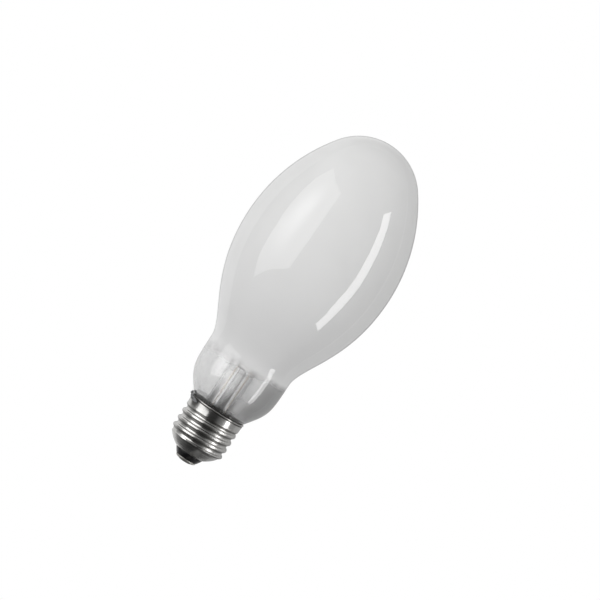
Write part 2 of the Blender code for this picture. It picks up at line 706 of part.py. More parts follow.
def build_straps(group):
    """Straight lower strap on the short post, and upper strap with a bow that gives when the arc tube grows."""
    nickel = material("strap_strip", (0.58, 0.57, 0.54), 0.3, 1.0)
    reach = POST_OFFSET + POST_RADIUS + STRAP_TAIL
    lower = strap_loop(-1) + [(reach, LOOP_RADIUS)]
    ribbon("lower_strap", lower, STRAP_WIDTH, nickel, group, location=(0, 0, strap_height(-1)))
    near = FRAME_OFFSET - POST_RADIUS - STRAP_TAIL
    beside = POST_RADIUS + FIT + STRIP / 2
    upper = strap_loop(1)
    for share in spaced(0, 1, 13)[1:]:
        y = -LOOP_RADIUS + (LOOP_RADIUS - beside) * share - BOW_DEPTH * math.sin(math.pi * share) ** 2
        upper.append((-near * share, y))
    upper.append((-FRAME_OFFSET - POST_RADIUS - STRAP_TAIL, -beside))
    ribbon("upper_strap", upper, STRAP_WIDTH, nickel, group, location=(0, 0, strap_height(1)))


# Arc tube

def build_arc_tube(group):
    """Open alumina tube; the pieces that close its ends are the same above and below."""
    alumina = material("alumina", (0.87, 0.86, 0.83), 0.35, 0.0, 0.5)
    bore = ARC_RADIUS - ARC_WALL
    half = ARC_LENGTH / 2
    turned("arc_tube", [(ARC_RADIUS, half), (ARC_RADIUS, -half), (bore, -half), (bore, half)], alumina, group,
           steps=MIDDLE_ROUND, location=(0, 0, WIDEST))
    for side, prefix in ((-1, "lower"), (1, "upper")):
        where = {
            "location": (0, 0, WIDEST + side * half),
            "turn": (math.pi if side < 0 else 0, 0, 0)}
        build_arc_end(group, prefix, alumina, bore, where)


def build_arc_end(group, prefix, alumina, bore, where):
    """Plug, seal ring, feedthrough and electrode, drawn with the outside of the arc tube upwards."""
    niobium = material("niobium", (0.48, 0.47, 0.46), 0.35, 1.0)
    frit = material("seal_frit", (0.55, 0.54, 0.5), 0.5)
    tungsten = material("tungsten", (0.3, 0.3, 0.31), 0.4, 1.0)
    hole = FEED_RADIUS + FIT
    rim = bore - FIT
    turned(prefix + "_plug", [(rim, 0), (rim, -PLUG_LENGTH), (hole, -PLUG_LENGTH), (hole, 0)], alumina, group,
           steps=SMALL_ROUND, **where)
    ring_top = FIT + SEAL_RING_HEIGHT
    turned(prefix + "_seal_ring", [
        (hole, ring_top), (SEAL_RING_TOP, ring_top), (SEAL_RING_RADIUS, FIT), (hole, FIT)],
        frit, group, steps=SMALL_ROUND, **where)
    bottom = -PLUG_LENGTH - FEED_INSIDE
    channel = FEED_RADIUS - FEED_WALL
    turned(prefix + "_feedthrough", [
        (channel, FEED_OUTSIDE), (FEED_RADIUS, FEED_OUTSIDE), (FEED_RADIUS, bottom), (0.0, bottom),
        (0.0, bottom + FEED_WALL), (channel, bottom + FEED_WALL), (channel, FEED_OUTSIDE)],
        niobium, group, steps=12, closed=False, **where)
    top = bottom - FIT
    coil_top = top - COIL_DROP
    turned(prefix + "_electrode", [
        (0.0, top), (ELECTRODE_ROD, top), (ELECTRODE_ROD, coil_top), (ELECTRODE_COIL, coil_top),
        (ELECTRODE_COIL, coil_top - COIL_LENGTH), (ELECTRODE_ROD, coil_top - COIL_LENGTH),
        (ELECTRODE_ROD, top - ELECTRODE_LENGTH), (0.0, top - ELECTRODE_LENGTH)],
        tungsten, group, steps=10, closed=False, **where)


def build_getters(group):
    """Channel rings, edge on to the frame rod and to the short post."""
    steel = material("getter_steel", (0.4, 0.4, 0.41), 0.4, 1.0)
    inner = GETTER_RADIUS - GETTER_CHANNEL
    top, floor = GETTER_HEIGHT / 2, -GETTER_HEIGHT / 2
    line = [(GETTER_RADIUS, top), (GETTER_RADIUS, floor), (inner, floor), (inner, top), (inner + GETTER_WALL, top),
            (inner + GETTER_WALL, floor + GETTER_WALL), (GETTER_RADIUS - GETTER_WALL, floor + GETTER_WALL),
            (GETTER_RADIUS - GETTER_WALL, top)]
    height = PRESS_TOP + GETTER_RISE
    beside = POST_RADIUS + FIT + GETTER_RADIUS
    upright = (math.pi / 2, 0, 0)
    turned("getter_ring_a", line, steel, group, steps=SMALL_ROUND,
           location=(beside - FRAME_OFFSET, 0, height), turn=upright)
    turned("getter_ring_b", line, steel, group, steps=SMALL_ROUND,
           location=(POST_OFFSET + beside, POST_BACK, height), turn=upright)


def main():
    for old in list(bpy.data.objects):
        bpy.data.objects.remove(old)
    lamp = bpy.data.collections.new(OBJECT_NAME)
    cutters = bpy.data.collections.new("cutters")
    bpy.context.scene.collection.children.link(lamp)
    bpy.context.scene.collection.children.link(cutters)
    build_contact(lamp)
    build_insulator(lamp)
    build_shell(lamp, cutters)
    build_cement(lamp, cutters)
    build_side_solder(lamp, cutters)
    build_bulb(lamp)
    build_stem(lamp, cutters)
    build_exhaust_tube(lamp)
    build_leads(lamp)
    build_frame(lamp)
    build_spring(lamp)
    build_straps(lamp)
    build_arc_tube(lamp)
    build_getters(lamp)


main()
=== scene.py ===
"""Looks of the high pressure sodium lamp: glass, coating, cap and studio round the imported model.

Lengths are in metres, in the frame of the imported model: the lamp stands on its centre contact, with its
axis on +Z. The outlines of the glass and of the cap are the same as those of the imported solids, drawn finer.
"""
import json
import math

import bpy
from mathutils import Matrix, Quaternion, Vector, noise


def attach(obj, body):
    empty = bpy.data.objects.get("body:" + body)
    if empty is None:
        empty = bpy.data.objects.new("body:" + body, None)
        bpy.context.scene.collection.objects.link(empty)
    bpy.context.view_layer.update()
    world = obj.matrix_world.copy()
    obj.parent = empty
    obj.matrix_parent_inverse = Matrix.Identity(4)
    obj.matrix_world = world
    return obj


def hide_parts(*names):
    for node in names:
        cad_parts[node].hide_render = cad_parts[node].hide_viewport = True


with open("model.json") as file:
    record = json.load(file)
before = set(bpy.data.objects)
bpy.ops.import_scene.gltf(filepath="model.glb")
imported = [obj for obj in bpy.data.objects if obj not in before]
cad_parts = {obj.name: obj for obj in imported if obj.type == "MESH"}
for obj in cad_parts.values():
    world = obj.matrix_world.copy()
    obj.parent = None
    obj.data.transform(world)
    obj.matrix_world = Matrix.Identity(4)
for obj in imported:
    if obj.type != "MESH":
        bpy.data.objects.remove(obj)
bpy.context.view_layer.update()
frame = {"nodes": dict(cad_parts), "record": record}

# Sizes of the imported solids
FIT = 0.0002
SOLDER_HEIGHT = 0.0005
SOLDER_RADIUS = 0.0030
SOLDER_FLAT_RADIUS = 0.0014
CONTACT_RADIUS = 0.0049
CONTACT_THICKNESS = 0.0011
CONTACT_ROUND_HEIGHT = 0.0009
CONTACT_ROUND_WIDTH = 0.0015
EYELET_BORE = 0.0009
EYELET_WALL = 0.0004
EYELET_HEIGHT = 0.0012
INSULATOR_FOOT_RADIUS = 0.0052
INSULATOR_HEIGHT = 0.0026
INSULATOR_DEPTH = 0.0033
SHEET = 0.0003
LIP_RADIUS = 0.0069
SHOULDER_HEIGHT = 0.0055
THREAD_RADIUS = 0.01312
THREAD_DEPTH = 0.001095
THREAD_PITCH = 0.003629
THREAD_LENGTH = 0.0134
THREAD_FADE = 0.0018
CREST_LIFT = 0.00003
BAND_HEIGHT = 0.0038
BAND_INSET = 0.00019
RIM_FLARE = 0.0003
BULB_WALL = 0.0009
RIM_GAP = 0.00048
RIM_SLOPE = 0.75
CEMENT_GAP = 0.00132
SEAL_DEPTH = 0.0139
NECK_RISE = 0.02266
NECK_RADIUS = 0.0201
NECK_LENGTH = 0.0030
SHOULDER_LENGTH = 0.05418
BULB_RADIUS = 0.03633
CROWN_LENGTH = 0.05744
CROWN_RADIUS = 0.02584
STEM_RADIUS = 0.00625
STEM_WALL = 0.0011
FLARE_HEIGHT = 0.0110
TUBE_LENGTH = 0.0225
PINCH_LENGTH = 0.0040
PRESS_LENGTH = 0.0080
PRESS_HALF_WIDTH = 0.0074
PRESS_HALF_THICKNESS = 0.0023
PRESS_EDGE = 0.0006
EXHAUST_RADIUS = 0.0020
EXHAUST_WALL = 0.0006
EXHAUST_SEAT = 0.0008
EXHAUST_TAIL = 0.0036
SIDE_LEAD_ANGLE = math.radians(210)
SHOULDER_CURVE = (0.579, 0.179)
NECK_CURVE = (0.547, 0.412)
DRAWN_STRAIGHT = 0.31
DRAWN_CURVE = (0.24, 0.46)
BASE_CURVE_OUT = (0.78, 0.44)
BASE_CURVE_UP = (0.57, 0.26)
CONTACT_CURVE = 0.45
FLARE_CURVE = (0.45, 0.40)
BORE_END = ((0.55, 0.45, 0.35), (0.92, 0.85, 0.20), (1.0, 1.0, -0.10))

# Heights and radii that follow from them
CONTACT_TOP = SOLDER_HEIGHT + CONTACT_THICKNESS
INSULATOR_FOOT = CONTACT_TOP + FIT
LIP = INSULATOR_FOOT + INSULATOR_HEIGHT
INSULATOR_TOP = LIP + INSULATOR_DEPTH
THREAD_BOTTOM = LIP + SHOULDER_HEIGHT
THREAD_TOP = THREAD_BOTTOM + THREAD_LENGTH
RIM = THREAD_TOP + BAND_HEIGHT
SEAL = RIM - SEAL_DEPTH
NECK_BOTTOM = RIM + NECK_RISE
NECK_TOP = NECK_BOTTOM + NECK_LENGTH
WIDEST = NECK_TOP + SHOULDER_LENGTH
TIP = WIDEST + CROWN_LENGTH
PINCH = SEAL + FLARE_HEIGHT + TUBE_LENGTH
PRESS_TOP = PINCH + PINCH_LENGTH + PRESS_LENGTH
THREAD_MEAN = THREAD_RADIUS - THREAD_DEPTH / 2
BAND_RADIUS = THREAD_RADIUS - BAND_INSET
RIM_RADIUS = BAND_RADIUS + RIM_FLARE
RIM_GLASS = RIM_RADIUS - SHEET - RIM_GAP
SEAL_RADIUS = THREAD_RADIUS - THREAD_DEPTH - SHEET - CEMENT_GAP
FLARE_RADIUS = SEAL_RADIUS - BULB_WALL - FIT

# Coating, film and dark ring on the inner face of the glass: how deep each lies within the wall
COATING_SINK = 0.00004
FILM_SINK = 0.00008
RING_SINK = 0.00012

# Where they start and end in height, and how far they fade
COATING_EDGE = 0.0484
COATING_FRONT_RISE = 0.0011
COATING_RIGHT_RISE = 0.0012
COATING_FADE = 0.0046
FILM_TOP = 0.0526
FILM_TOP_FADE = 0.005
FILM_BOTTOM = 0.0265
FILM_BOTTOM_FADE = 0.006
RING_TOP = 0.0295
RING_FULL = 0.0275
RING_OVERLAP = 0.0003
RING_BOTTOM = RIM - 0.0030

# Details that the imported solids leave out
STEM_LEAN = 0.0007  # to the left, as in the photograph
SPIN_PITCH = 0.00085  # of the rings that spinning leaves on the shoulder of the cap
RIM_BEAD = 0.00044  # height of the bead at the rim, and of the groove below it
BEAD_OUT = 0.00017
GROOVE_IN = 0.00026
DENT_WIDTH = 0.0062  # reach of the dents round the side solder, along the rim and down from it
DENT_DROP = 0.0052
DENT_DEPTH = 0.00026
DENT_PRESS = 0.00006
SHELL_RIPPLE = 0.00003
RIM_RIPPLE = 0.00009
LUMP_BACK = math.radians(19)  # side solder: how far it starts behind its lead, and how far round the rim it goes
LUMP_SPAN = math.radians(34)
LUMP_THICKNESS = 0.00062
KNOB_THICKNESS = 0.0004
SOLDER_PATCH_DROP = 0.0016  # centre of the darker patch below the rim, beside the side solder

# Fineness of the round forms
ROUND = 160
CAP_ROUND = 200
SMALL_ROUND = 96
THREAD_ROW = 0.00012

# Camera
LENS = 150.0
SENSOR = 36.0
DISTANCE = 1.087
ELEVATION = math.radians(2.5)
ROLL = math.radians(33.297)
AIM_HEIGHT = 0.092695
AIM_ABOVE_CENTRE = 0.007109
AIM_RIGHT_OF_CENTRE = 0.000243

# Lamps: centre, facing, width, height and radiance
LEFT_SOFTBOX = ((-0.410, -0.620, 0.190), (0.55, 0.83, -0.13), 0.715, 0.94, 1.4)
RIGHT_STRIP = ((0.560, -0.240, 0.170), (-0.92, 0.39, -0.12), 0.115, 0.92, 1.6)

# Mirror cards: centre, facing, corners in the card's own plane, and level
LEFT_CARD = (
    (-0.980, -1.046, 0.322), (0.972, 0.235, -0.05),
    [(-0.77, -0.76), (0.18, -0.76), (0.67, -0.89), (0.77, -0.58), (0.77, -0.18), (0.87, 0.23), (0.92, 0.52),
     (0.86, 0.85), (0.29, 0.92), (-0.46, 1.22), (-0.65, 0.83), (-0.80, 0.38), (-0.85, -0.10)], 1.9)
RIGHT_CARD = (
    (1.120, -0.480, 0.240), (-0.92, 0.39, -0.12),
    [(-0.15, -1.06), (0.18, -1.03), (0.17, -0.81), (0.21, -0.56), (0.145, -0.175), (0.14, 0.19), (0.09, 0.58),
     (0.105, 0.815), (-0.21, 0.85), (-0.135, 0.16), (-0.132, -0.18), (-0.105, -0.53), (-0.110, -0.77)], 6.0)
HOT_PLACE = (0.32, 0.13)  # brightest place of the left card, how far it reaches, and what it adds
HOT_REACH = (0.52, 0.78)
HOT_LEVEL = 2.3

# World: two values of one share of a ray's direction, and what it gives at each of them, 0 and 1 where not said
WALL_LEVELS = (0.20, 0.85, 0.040, 0.42)
SKY_LEVELS = (0.10, 0.50, 0.0, 0.13)
CEILING_START = (0.40, 0.60, 0.0, 0.45)
CEILING_END = (0.90, 0.65, 0.15, 1.0)
CEILING_SIDE = (0.05, -0.38)
BACKDROP_START = (0.36, 0.42)
BACKDROP_SIDES = (-0.25, 0.25, 0.95, 0.57)
BACKDROP_GRAZING = (0.90, 0.985, 1.0, 0.50)
BACKDROP_FOOT = (-0.80, -0.45, 0.15, 1.0)
BACKDROP_HEAD = (0.45, 0.80, 1.0, 0.5)
SEAM_START = (0.375, 0.395)
SEAM_END = (0.435, 0.41)
SEAM_SIDE = (0.0, 0.2, 0.0, 0.5)
PLAIN_LEVELS = (-0.30, 0.30, 0.29, 0.67)
PLAIN_DIP = (0.40, 1.0, 0.0, 0.08)
THROUGH_GLASS = (-0.30, 0.50, 0.65, 1.0)

# Floor
FLOOR_RADIUS = 1.2
FLOOR_HEIGHT = -0.45
FLOOR_EDGE = (0.6, 1.15, 0.45, 1.0)  # where it starts and ends turning white, and by how much


# Outlines

def bezier(start, near_start, near_end, end, steps):
    """Points of a cubic curve through start and end, both included."""
    points = []
    for i in range(steps + 1):
        t = i / steps
        weights = ((1 - t) ** 3, 3 * t * (1 - t) ** 2, 3 * t * t * (1 - t), t ** 3)
        controls = (start, near_start, near_end, end)
        points.append(tuple(sum(w * c[k] for w, c in zip(weights, controls)) for k in (0, 1)))
    return points


def smooth(share):
    """Eased step from 0 to 1."""
    share = min(max(share, 0.0), 1.0)
    return share * share * (3 - 2 * share)


def spaced(first, last, count):
    """Evenly spaced values, both ends included."""
    return [first + (last - first) * i / (count - 1) for i in range(count)]


def offset(line, distance):
    """A copy of an open line that runs down, moved inwards by a distance."""
    result = []
    for i, point in enumerate(line):
        before, after = line[max(i - 1, 0)], line[min(i + 1, len(line) - 1)]
        along = Vector((after[0] - before[0], after[1] - before[1])).normalized()
        result.append((point[0] + along.y * distance, point[1] - along.x * distance))
    return result


def radius_at(line, height):
    """Radius of a turned outline, given from its top down, at one height."""
    for upper, lower in zip(line, line[1:]):
        if lower[1] <= height <= upper[1]:
            share = (height - lower[1]) / max(upper[1] - lower[1], 1e-9)
            return lower[0] + share * (upper[0] - lower[0])
    return line[0][0] if height > line[0][1] else line[-1][0]


def cut(line, low, high):
    """The part of a turned outline between two heights, with its ends exactly there."""
    inside = [point for point in line if low < point[1] < high]
    return [(radius_at(line, high), high)] + inside + [(radius_at(line, low), low)]


def crown_outline(fine):
    """Round crown and the flatter arc that leads from it to the widest ring."""
    rise = CROWN_LENGTH - CROWN_RADIUS
    side_radius = (BULB_RADIUS ** 2 + rise ** 2 - CROWN_RADIUS ** 2) / (2 * (BULB_RADIUS - CROWN_RADIUS))
    join = math.asin(rise / (side_radius - CROWN_RADIUS))
    points = []
    for angle in spaced(math.pi / 2, join, 5 * fine):
        points.append((CROWN_RADIUS * math.cos(angle), WIDEST + rise + CROWN_RADIUS * math.sin(angle)))
    points[0] = (0.0, TIP)
    for angle in spaced(join, 0, 5 * fine)[1:]:
        radius = BULB_RADIUS - side_radius + side_radius * math.cos(angle)
        points.append((radius, WIDEST + side_radius * math.sin(angle)))
    return points


def shoulder_outline(fine):
    """From the widest ring in to the neck."""
    upper_handle = (BULB_RADIUS, WIDEST - SHOULDER_CURVE[0] * SHOULDER_LENGTH)
    lower_handle = (NECK_RADIUS, NECK_TOP + SHOULDER_CURVE[1] * SHOULDER_LENGTH)
    return bezier((BULB_RADIUS, WIDEST), upper_handle, lower_handle, (NECK_RADIUS, NECK_TOP), 8 * fine)


def neck_outline(fine):
    """From the neck in to the rim of the cap, and on to the sealed end inside the cap."""
    rim = (RIM_GLASS, RIM)
    leaving = NECK_RISE * NECK_CURVE[1]
    upper = bezier((NECK_RADIUS, NECK_BOTTOM), (NECK_RADIUS, NECK_BOTTOM - NECK_CURVE[0] * NECK_RISE),
                   (rim[0] + RIM_SLOPE * leaving, RIM + leaving), rim, 6 * fine)
    straight = SEAL_DEPTH * DRAWN_STRAIGHT
    drawn = SEAL_DEPTH - straight
    entering = drawn * DRAWN_CURVE[0]
    lower = bezier(rim, (rim[0] - RIM_SLOPE * entering, RIM - entering),
                   (SEAL_RADIUS, SEAL + straight + DRAWN_CURVE[1] * drawn), (SEAL_RADIUS, SEAL + straight), 3 * fine)
    return upper + lower[1:] + [(SEAL_RADIUS, SEAL)]


def glass_outline(fine=6):
    return crown_outline(fine) + shoulder_outline(fine)[1:] + neck_outline(fine)


def base_outline(steps):
    """Shoulder of the cap shell, from the first full thread in to the lip."""
    across = THREAD_MEAN - LIP_RADIUS
    handles = [(LIP_RADIUS + out * across, LIP + up * SHOULDER_HEIGHT)
               for out, up in zip(BASE_CURVE_OUT, BASE_CURVE_UP)]
    return bezier((THREAD_MEAN, THREAD_BOTTOM), *handles, (LIP_RADIUS, LIP), steps)


BASE_LINE = base_outline(24)


def plain_radius(height):
    """Radius of the cap shell without its thread."""
    if height < THREAD_BOTTOM:
        return radius_at(BASE_LINE, height)
    into_band = smooth((height - THREAD_TOP + THREAD_FADE) / THREAD_FADE)
    flare = max((height - THREAD_TOP) / BAND_HEIGHT, 0.0) ** 2
    return THREAD_MEAN + (BAND_RADIUS - THREAD_MEAN) * into_band + RIM_FLARE * flare


def thread_weight(height):
    """Share of the full thread depth: none on the shoulder and on the band, all of it between."""
    into = smooth((height - THREAD_BOTTOM + THREAD_FADE) / THREAD_FADE)
    out = smooth((THREAD_TOP - height) / THREAD_FADE)
    return into * out


def thread_wave(turns):
    """Offset of the thread from its mean radius: crest and root are equal arcs."""
    quarter = THREAD_PITCH / 4
    half_depth = THREAD_DEPTH / 2
    arc = (quarter ** 2 + half_depth ** 2) / (2 * half_depth)
    from_crest = abs((turns + 0.5) % 1.0 - 0.5) * THREAD_PITCH
    if from_crest <= quarter:
        return half_depth - arc + math.sqrt(arc ** 2 - from_crest ** 2)
    from_root = THREAD_PITCH / 2 - from_crest
    return arc - half_depth - math.sqrt(arc ** 2 - from_root ** 2)


def shell_radius(angle, height):
    """Outer radius of the cap shell with its right-hand thread."""
    turns = (height - THREAD_BOTTOM - CREST_LIFT) / THREAD_PITCH - angle / math.tau
    return plain_radius(height) + thread_weight(height) * thread_wave(turns)


# Meshes

def show(name, points, faces, finish, slot, *nodes):
    """A smooth-shaded mesh piece that rides on the lamp and stands for the named nodes."""
    mesh = bpy.data.meshes.new(name)
    mesh.from_pydata([tuple(point) for point in points], [], faces)
    mesh.validate()
    mesh.shade_smooth()
    mesh.set_sharp_from_angle(angle=math.radians(40))
    mesh.materials.append(finish)
    piece = bpy.data.objects.new(name, mesh)
    bpy.context.scene.collection.objects.link(piece)
    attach(piece, "root")
    if nodes:
        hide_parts(*nodes)
    return piece


def skin(rings, closed=False, first_cap=False, last_cap=False):
    """Points and faces over rings of equal counts; closed joins the last ring to the first."""
    count = len(rings[0])
    points = [point for ring in rings for point in ring]
    faces = []
    rows = len(rings) if closed else len(rings) - 1
    for row in range(rows):
        upper, lower = row * count, ((row + 1) % len(rings)) * count
        for i in range(count):
            j = (i + 1) % count
            faces.append((upper + i, lower + i, lower + j, upper + j))
    if first_cap:
        faces.append(tuple(range(count)))
    if last_cap:
        faces.append(tuple(reversed(range(len(points) - count, len(points)))))
    return points, faces


def spun(line, steps=ROUND, closed=False):
    """Points and faces of an outline that runs down its outer side, turned round Z; points on the axis are poles."""
    angles = [math.tau * i / steps for i in range(steps)]
    points, starts = [], []
    for radius, height in line:
        starts.append(len(points))
        if radius < 1e-7:
            points.append((0.0, 0.0, height))
        else:
            points.extend((radius * math.cos(a), radius * math.sin(a), height) for a in angles)
    faces = []
    pairs = list(zip(range(len(line)), range(1, len(line))))
    if closed:
        pairs.append((len(line) - 1, 0))
    for upper, lower in pairs:
        top_pole, low_pole = line[upper][0] < 1e-7, line[lower][0] < 1e-7
        if top_pole and low_pole:
            continue
        for i in range(steps):
            j = (i + 1) % steps
            ring = []
            ring.append(starts[upper] if top_pole else starts[upper] + i)
            ring.append(starts[lower] if low_pole else starts[lower] + i)
            if not low_pole:
                ring.append(starts[lower] + j)
            if not top_pole:
                ring.append(starts[upper] + j)
            faces.append(tuple(ring))
    return points, faces


def filleted(line, radius, steps=4):
    """A line of (radius, height) points with its inner corners rounded."""
    result = [line[0]]
    for before, corner, after in zip(line, line[1:], line[2:]):
        before, corner, after = Vector(before), Vector(corner), Vector(after)
        run_in, run_out = before - corner, after - corner
        reach = min(radius, 0.45 * run_in.length, 0.45 * run_out.length)
        start, end = corner + run_in.normalized() * reach, corner + run_out.normalized() * reach
        for i in range(steps + 1):
            t = i / steps
            result.append(tuple(start * (1 - t) ** 2 + corner * 2 * t * (1 - t) + end * t * t))
    result.append(line[-1])
    return result


# Nodes

def add(tree, kind, sockets=None, **settings):
    """A shader node with its properties set; each named or numbered input is linked or given a value."""
    made = tree.nodes.new("ShaderNode" + kind)
    for name, value in settings.items():
        setattr(made, name, value)
    for key, value in (sockets or {}).items():
        if isinstance(value, bpy.types.NodeSocket):
            tree.links.new(value, made.inputs[key])
        else:
            made.inputs[key].default_value = value
    return made


def maths(tree, operation, first, second=0.0):
    return add(tree, "Math", {0: first, 1: second}, operation=operation).outputs[0]


def times(tree, first, *others):
    """Product of the values."""
    for other in others:
        first = maths(tree, "MULTIPLY", first, other)
    return first


def plus(tree, first, *others):
    """Sum of the values."""
    for other in others:
        first = maths(tree, "ADD", first, other)
    return first


def wavering(tree, mask, width):
    """A mask from 0 to 1 as an offset of up to half a width either way."""
    return times(tree, maths(tree, "SUBTRACT", mask, 0.5), width)


def eased(tree, value, low, high, start=0.0, end=1.0):
    """A value that goes from start to end, eased, as the input goes from low to high."""
    made = add(tree, "MapRange", {"Value": value, "From Min": low, "From Max": high, "To Min": start, "To Max": end},
               interpolation_type="SMOOTHSTEP")
    return made.outputs["Result"]


def between(tree, share, first, second):
    """A colour between two, by a share."""
    return add(tree, "Mix", {0: share, 6: first, 7: second}, data_type="RGBA").outputs[2]


def mixed(tree, share, first, second):
    """A number between two, by a share."""
    return add(tree, "Mix", {0: share, 2: first, 3: second}, data_type="FLOAT").outputs[0]


def places(tree):
    """Coordinates in metres, in the lamp's own frame."""
    return add(tree, "TexCoord").outputs["Object"]


def new_group(name, inputs, outputs):
    """A shader node group with named number inputs and typed outputs."""
    tree = bpy.data.node_groups.new(name, "ShaderNodeTree")
    for label, value in inputs.items():
        tree.interface.new_socket(label, in_out="INPUT", socket_type="NodeSocketFloat").default_value = value
    for label, kind in outputs.items():
        tree.interface.new_socket(label, in_out="OUTPUT", socket_type=kind)
    return tree, tree.nodes.new("NodeGroupInput").outputs, tree.nodes.new("NodeGroupOutput").inputs


def grain_group():
    """Fine grain, stretched by a share along Z: a mask that varies round a half, and the same as a height."""
    tree, given, out = new_group("grain", {"Scale": 800.0, "Z Share": 1.0, "Coarse Scale": 60.0},
                                 {"Mask": "NodeSocketFloat", "Height": "NodeSocketFloat"})
    spread = add(tree, "CombineXYZ", {0: 1.0, 1: 1.0, 2: given["Z Share"]}).outputs[0]
    stretched = add(tree, "VectorMath", {0: places(tree), 1: spread}, operation="MULTIPLY").outputs[0]
    fine = add(tree, "TexNoise", {"Vector": stretched, "Scale": given["Scale"], "Detail": 3.0, "Roughness": 0.6})
    coarse = add(tree, "TexNoise", {"Vector": places(tree), "Scale": given["Coarse Scale"], "Detail": 2.0})
    both = plus(tree, times(tree, fine.outputs["Fac"], 0.65), times(tree, coarse.outputs["Fac"], 0.35))
    tree.links.new(eased(tree, both, 0.25, 0.75), out["Mask"])
    tree.links.new(fine.outputs["Fac"], out["Height"])
    return tree


def smudge_group():
    """Broad soft patches, as handling and dust leave them: a mask that is mostly low."""
    tree, given, out = new_group("smudges", {"Scale": 45.0, "Amount": 0.5}, {"Mask": "NodeSocketFloat"})
    broad = add(tree, "TexNoise", {"Vector": places(tree), "Scale": given["Scale"], "Detail": 4.0, "Roughness": 0.55,
                                   "Distortion": 0.6})
    tree.links.new(times(tree, eased(tree, broad.outputs["Fac"], 0.45, 0.75), given["Amount"]), out["Mask"])
    return tree


def around_group():
    """Where a point lies round the lamp: shares towards +X, towards either side and the front, and its height."""
    tree, _, out = new_group("around", {}, dict.fromkeys(("Right", "Side", "Front", "Height"), "NodeSocketFloat"))
    parts = add(tree, "SeparateXYZ", {0: places(tree)}).outputs
    flat = add(tree, "CombineXYZ", {0: parts[0], 1: parts[1], 2: 0.0}).outputs[0]
    away = add(tree, "VectorMath", {0: flat}, operation="NORMALIZE").outputs[0]
    sides = add(tree, "SeparateXYZ", {0: away}).outputs
    tree.links.new(sides[0], out["Right"])
    tree.links.new(maths(tree, "ABSOLUTE", sides[0]), out["Side"])
    tree.links.new(times(tree, sides[1], -1.0), out["Front"])
    tree.links.new(parts[2], out["Height"])
    return tree


GROUPS = {"grain": grain_group(), "smudges": smudge_group(), "around": around_group()}


def use(tree, group, **values):
    """A group placed in a material with its own values; returns its outputs."""
    made = tree.nodes.new("ShaderNodeGroup")
    made.node_tree = GROUPS[group]
    for label, value in values.items():
        made.inputs[label.replace("_", " ")].default_value = value
    return made.outputs


# Finishes

def grey(level):
    return level, level, level, 1


# Colours and levels of the finishes; a pair goes from the low to the high end of its mask
GLASS_IOR = 1.5
BULB_TINTS = (grey(0.92), grey(0.88))
STEM_TINTS = (grey(0.97), grey(0.93))
# Painted shade in the stem and pump tube glass low in the neck, where the cap's dark inside shows through
STEM_FOOT_SHADE = (grey(0.33), (0.62, 0.80))  # tint, and the side shares between which it sets in
TUBE_FOOT_SHADE = (grey(0.34), None)
FOOT_SHADE_HEIGHTS = (0.0385, 0.0285)  # between which the glass inside the neck darkens
POWDER = ((0.835, 0.835, 0.83, 1), (0.865, 0.865, 0.86, 1))
# Painted shading of the powder towards the neck: greyer, darker on the left than on the right, lighter towards the
# sides
LOW_POWDER_SHADE = (grey(0.77), grey(0.80))  # left and right of the middle, towards the neck
LOW_POWDER_SIDE_LIGHT = grey(0.87)
# Level of the painted glow on the coating's inner face
PAINTED_INNER_GLOW = grey(0.27)
FILM = ((0.32, 0.32, 0.32, 1), (0.38, 0.375, 0.37, 1))
NEAR_FILM = (0.034, 0.045, 0.46, 0.36)  # two heights, and how dense the film is at each
FAR_FILM = (0.030, 0.040, 0.34, 0.56)
VEIL = (0.045, 0.030, 0.03, 0.13)
# Tints of the painted shade in the ring at the foot of the neck
RING_SHADE_TINTS = ((0.018, 0.017, 0.016, 1), (0.045, 0.042, 0.040, 1))
NICKEL = ((0.43, 0.425, 0.415, 1), (0.56, 0.555, 0.54, 1))
# Lighter nickel of the painted highlight on the upward flanks towards the front
LIT_NICKEL = (0.68, 0.67, 0.655, 1)
# Dark nickel of the painted shade in the groove and on the lower flanks, also of the darker patch beside the side
# solder
DARK_NICKEL = (0.05, 0.047, 0.044, 1)
BLACK = ((0.006, 0.006, 0.007, 1), (0.020, 0.019, 0.018, 1))


def new_finish(name):
    """An empty material: returns it with its node tree, its Principled shader and the input of its output node."""
    made = bpy.data.materials.new(name)
    made.use_nodes = True
    tree = made.node_tree
    shader = tree.nodes["Principled BSDF"]
    return made, tree, shader, tree.nodes["Material Output"].inputs["Surface"]


def bumped(tree, height, distance):
    """A normal from a height, for a bump of a distance."""
    return add(tree, "Bump", {"Height": height, "Distance": distance, "Strength": 1.0}).outputs["Normal"]


def metal_finish(name, dark, light, roughness, grain, bump=0.0, metallic=1.0):
    """Metal or another opaque finish: two shades by grain, and a roughness range by grain and smudges."""
    made, tree, shader, _ = new_finish(name)
    grained = use(tree, "grain", **grain)
    smudged = use(tree, "smudges")
    tree.links.new(between(tree, grained["Mask"], (*dark, 1), (*light, 1)), shader.inputs["Base Color"])
    worn = plus(tree, times(tree, grained["Mask"], 0.6), smudged["Mask"])
    rough = eased(tree, worn, 0.0, 1.0, *roughness)
    tree.links.new(rough, shader.inputs["Roughness"])
    shader.inputs["Metallic"].default_value = metallic
    if bump:
        tree.links.new(bumped(tree, grained["Height"], bump), shader.inputs["Normal"])
    return made


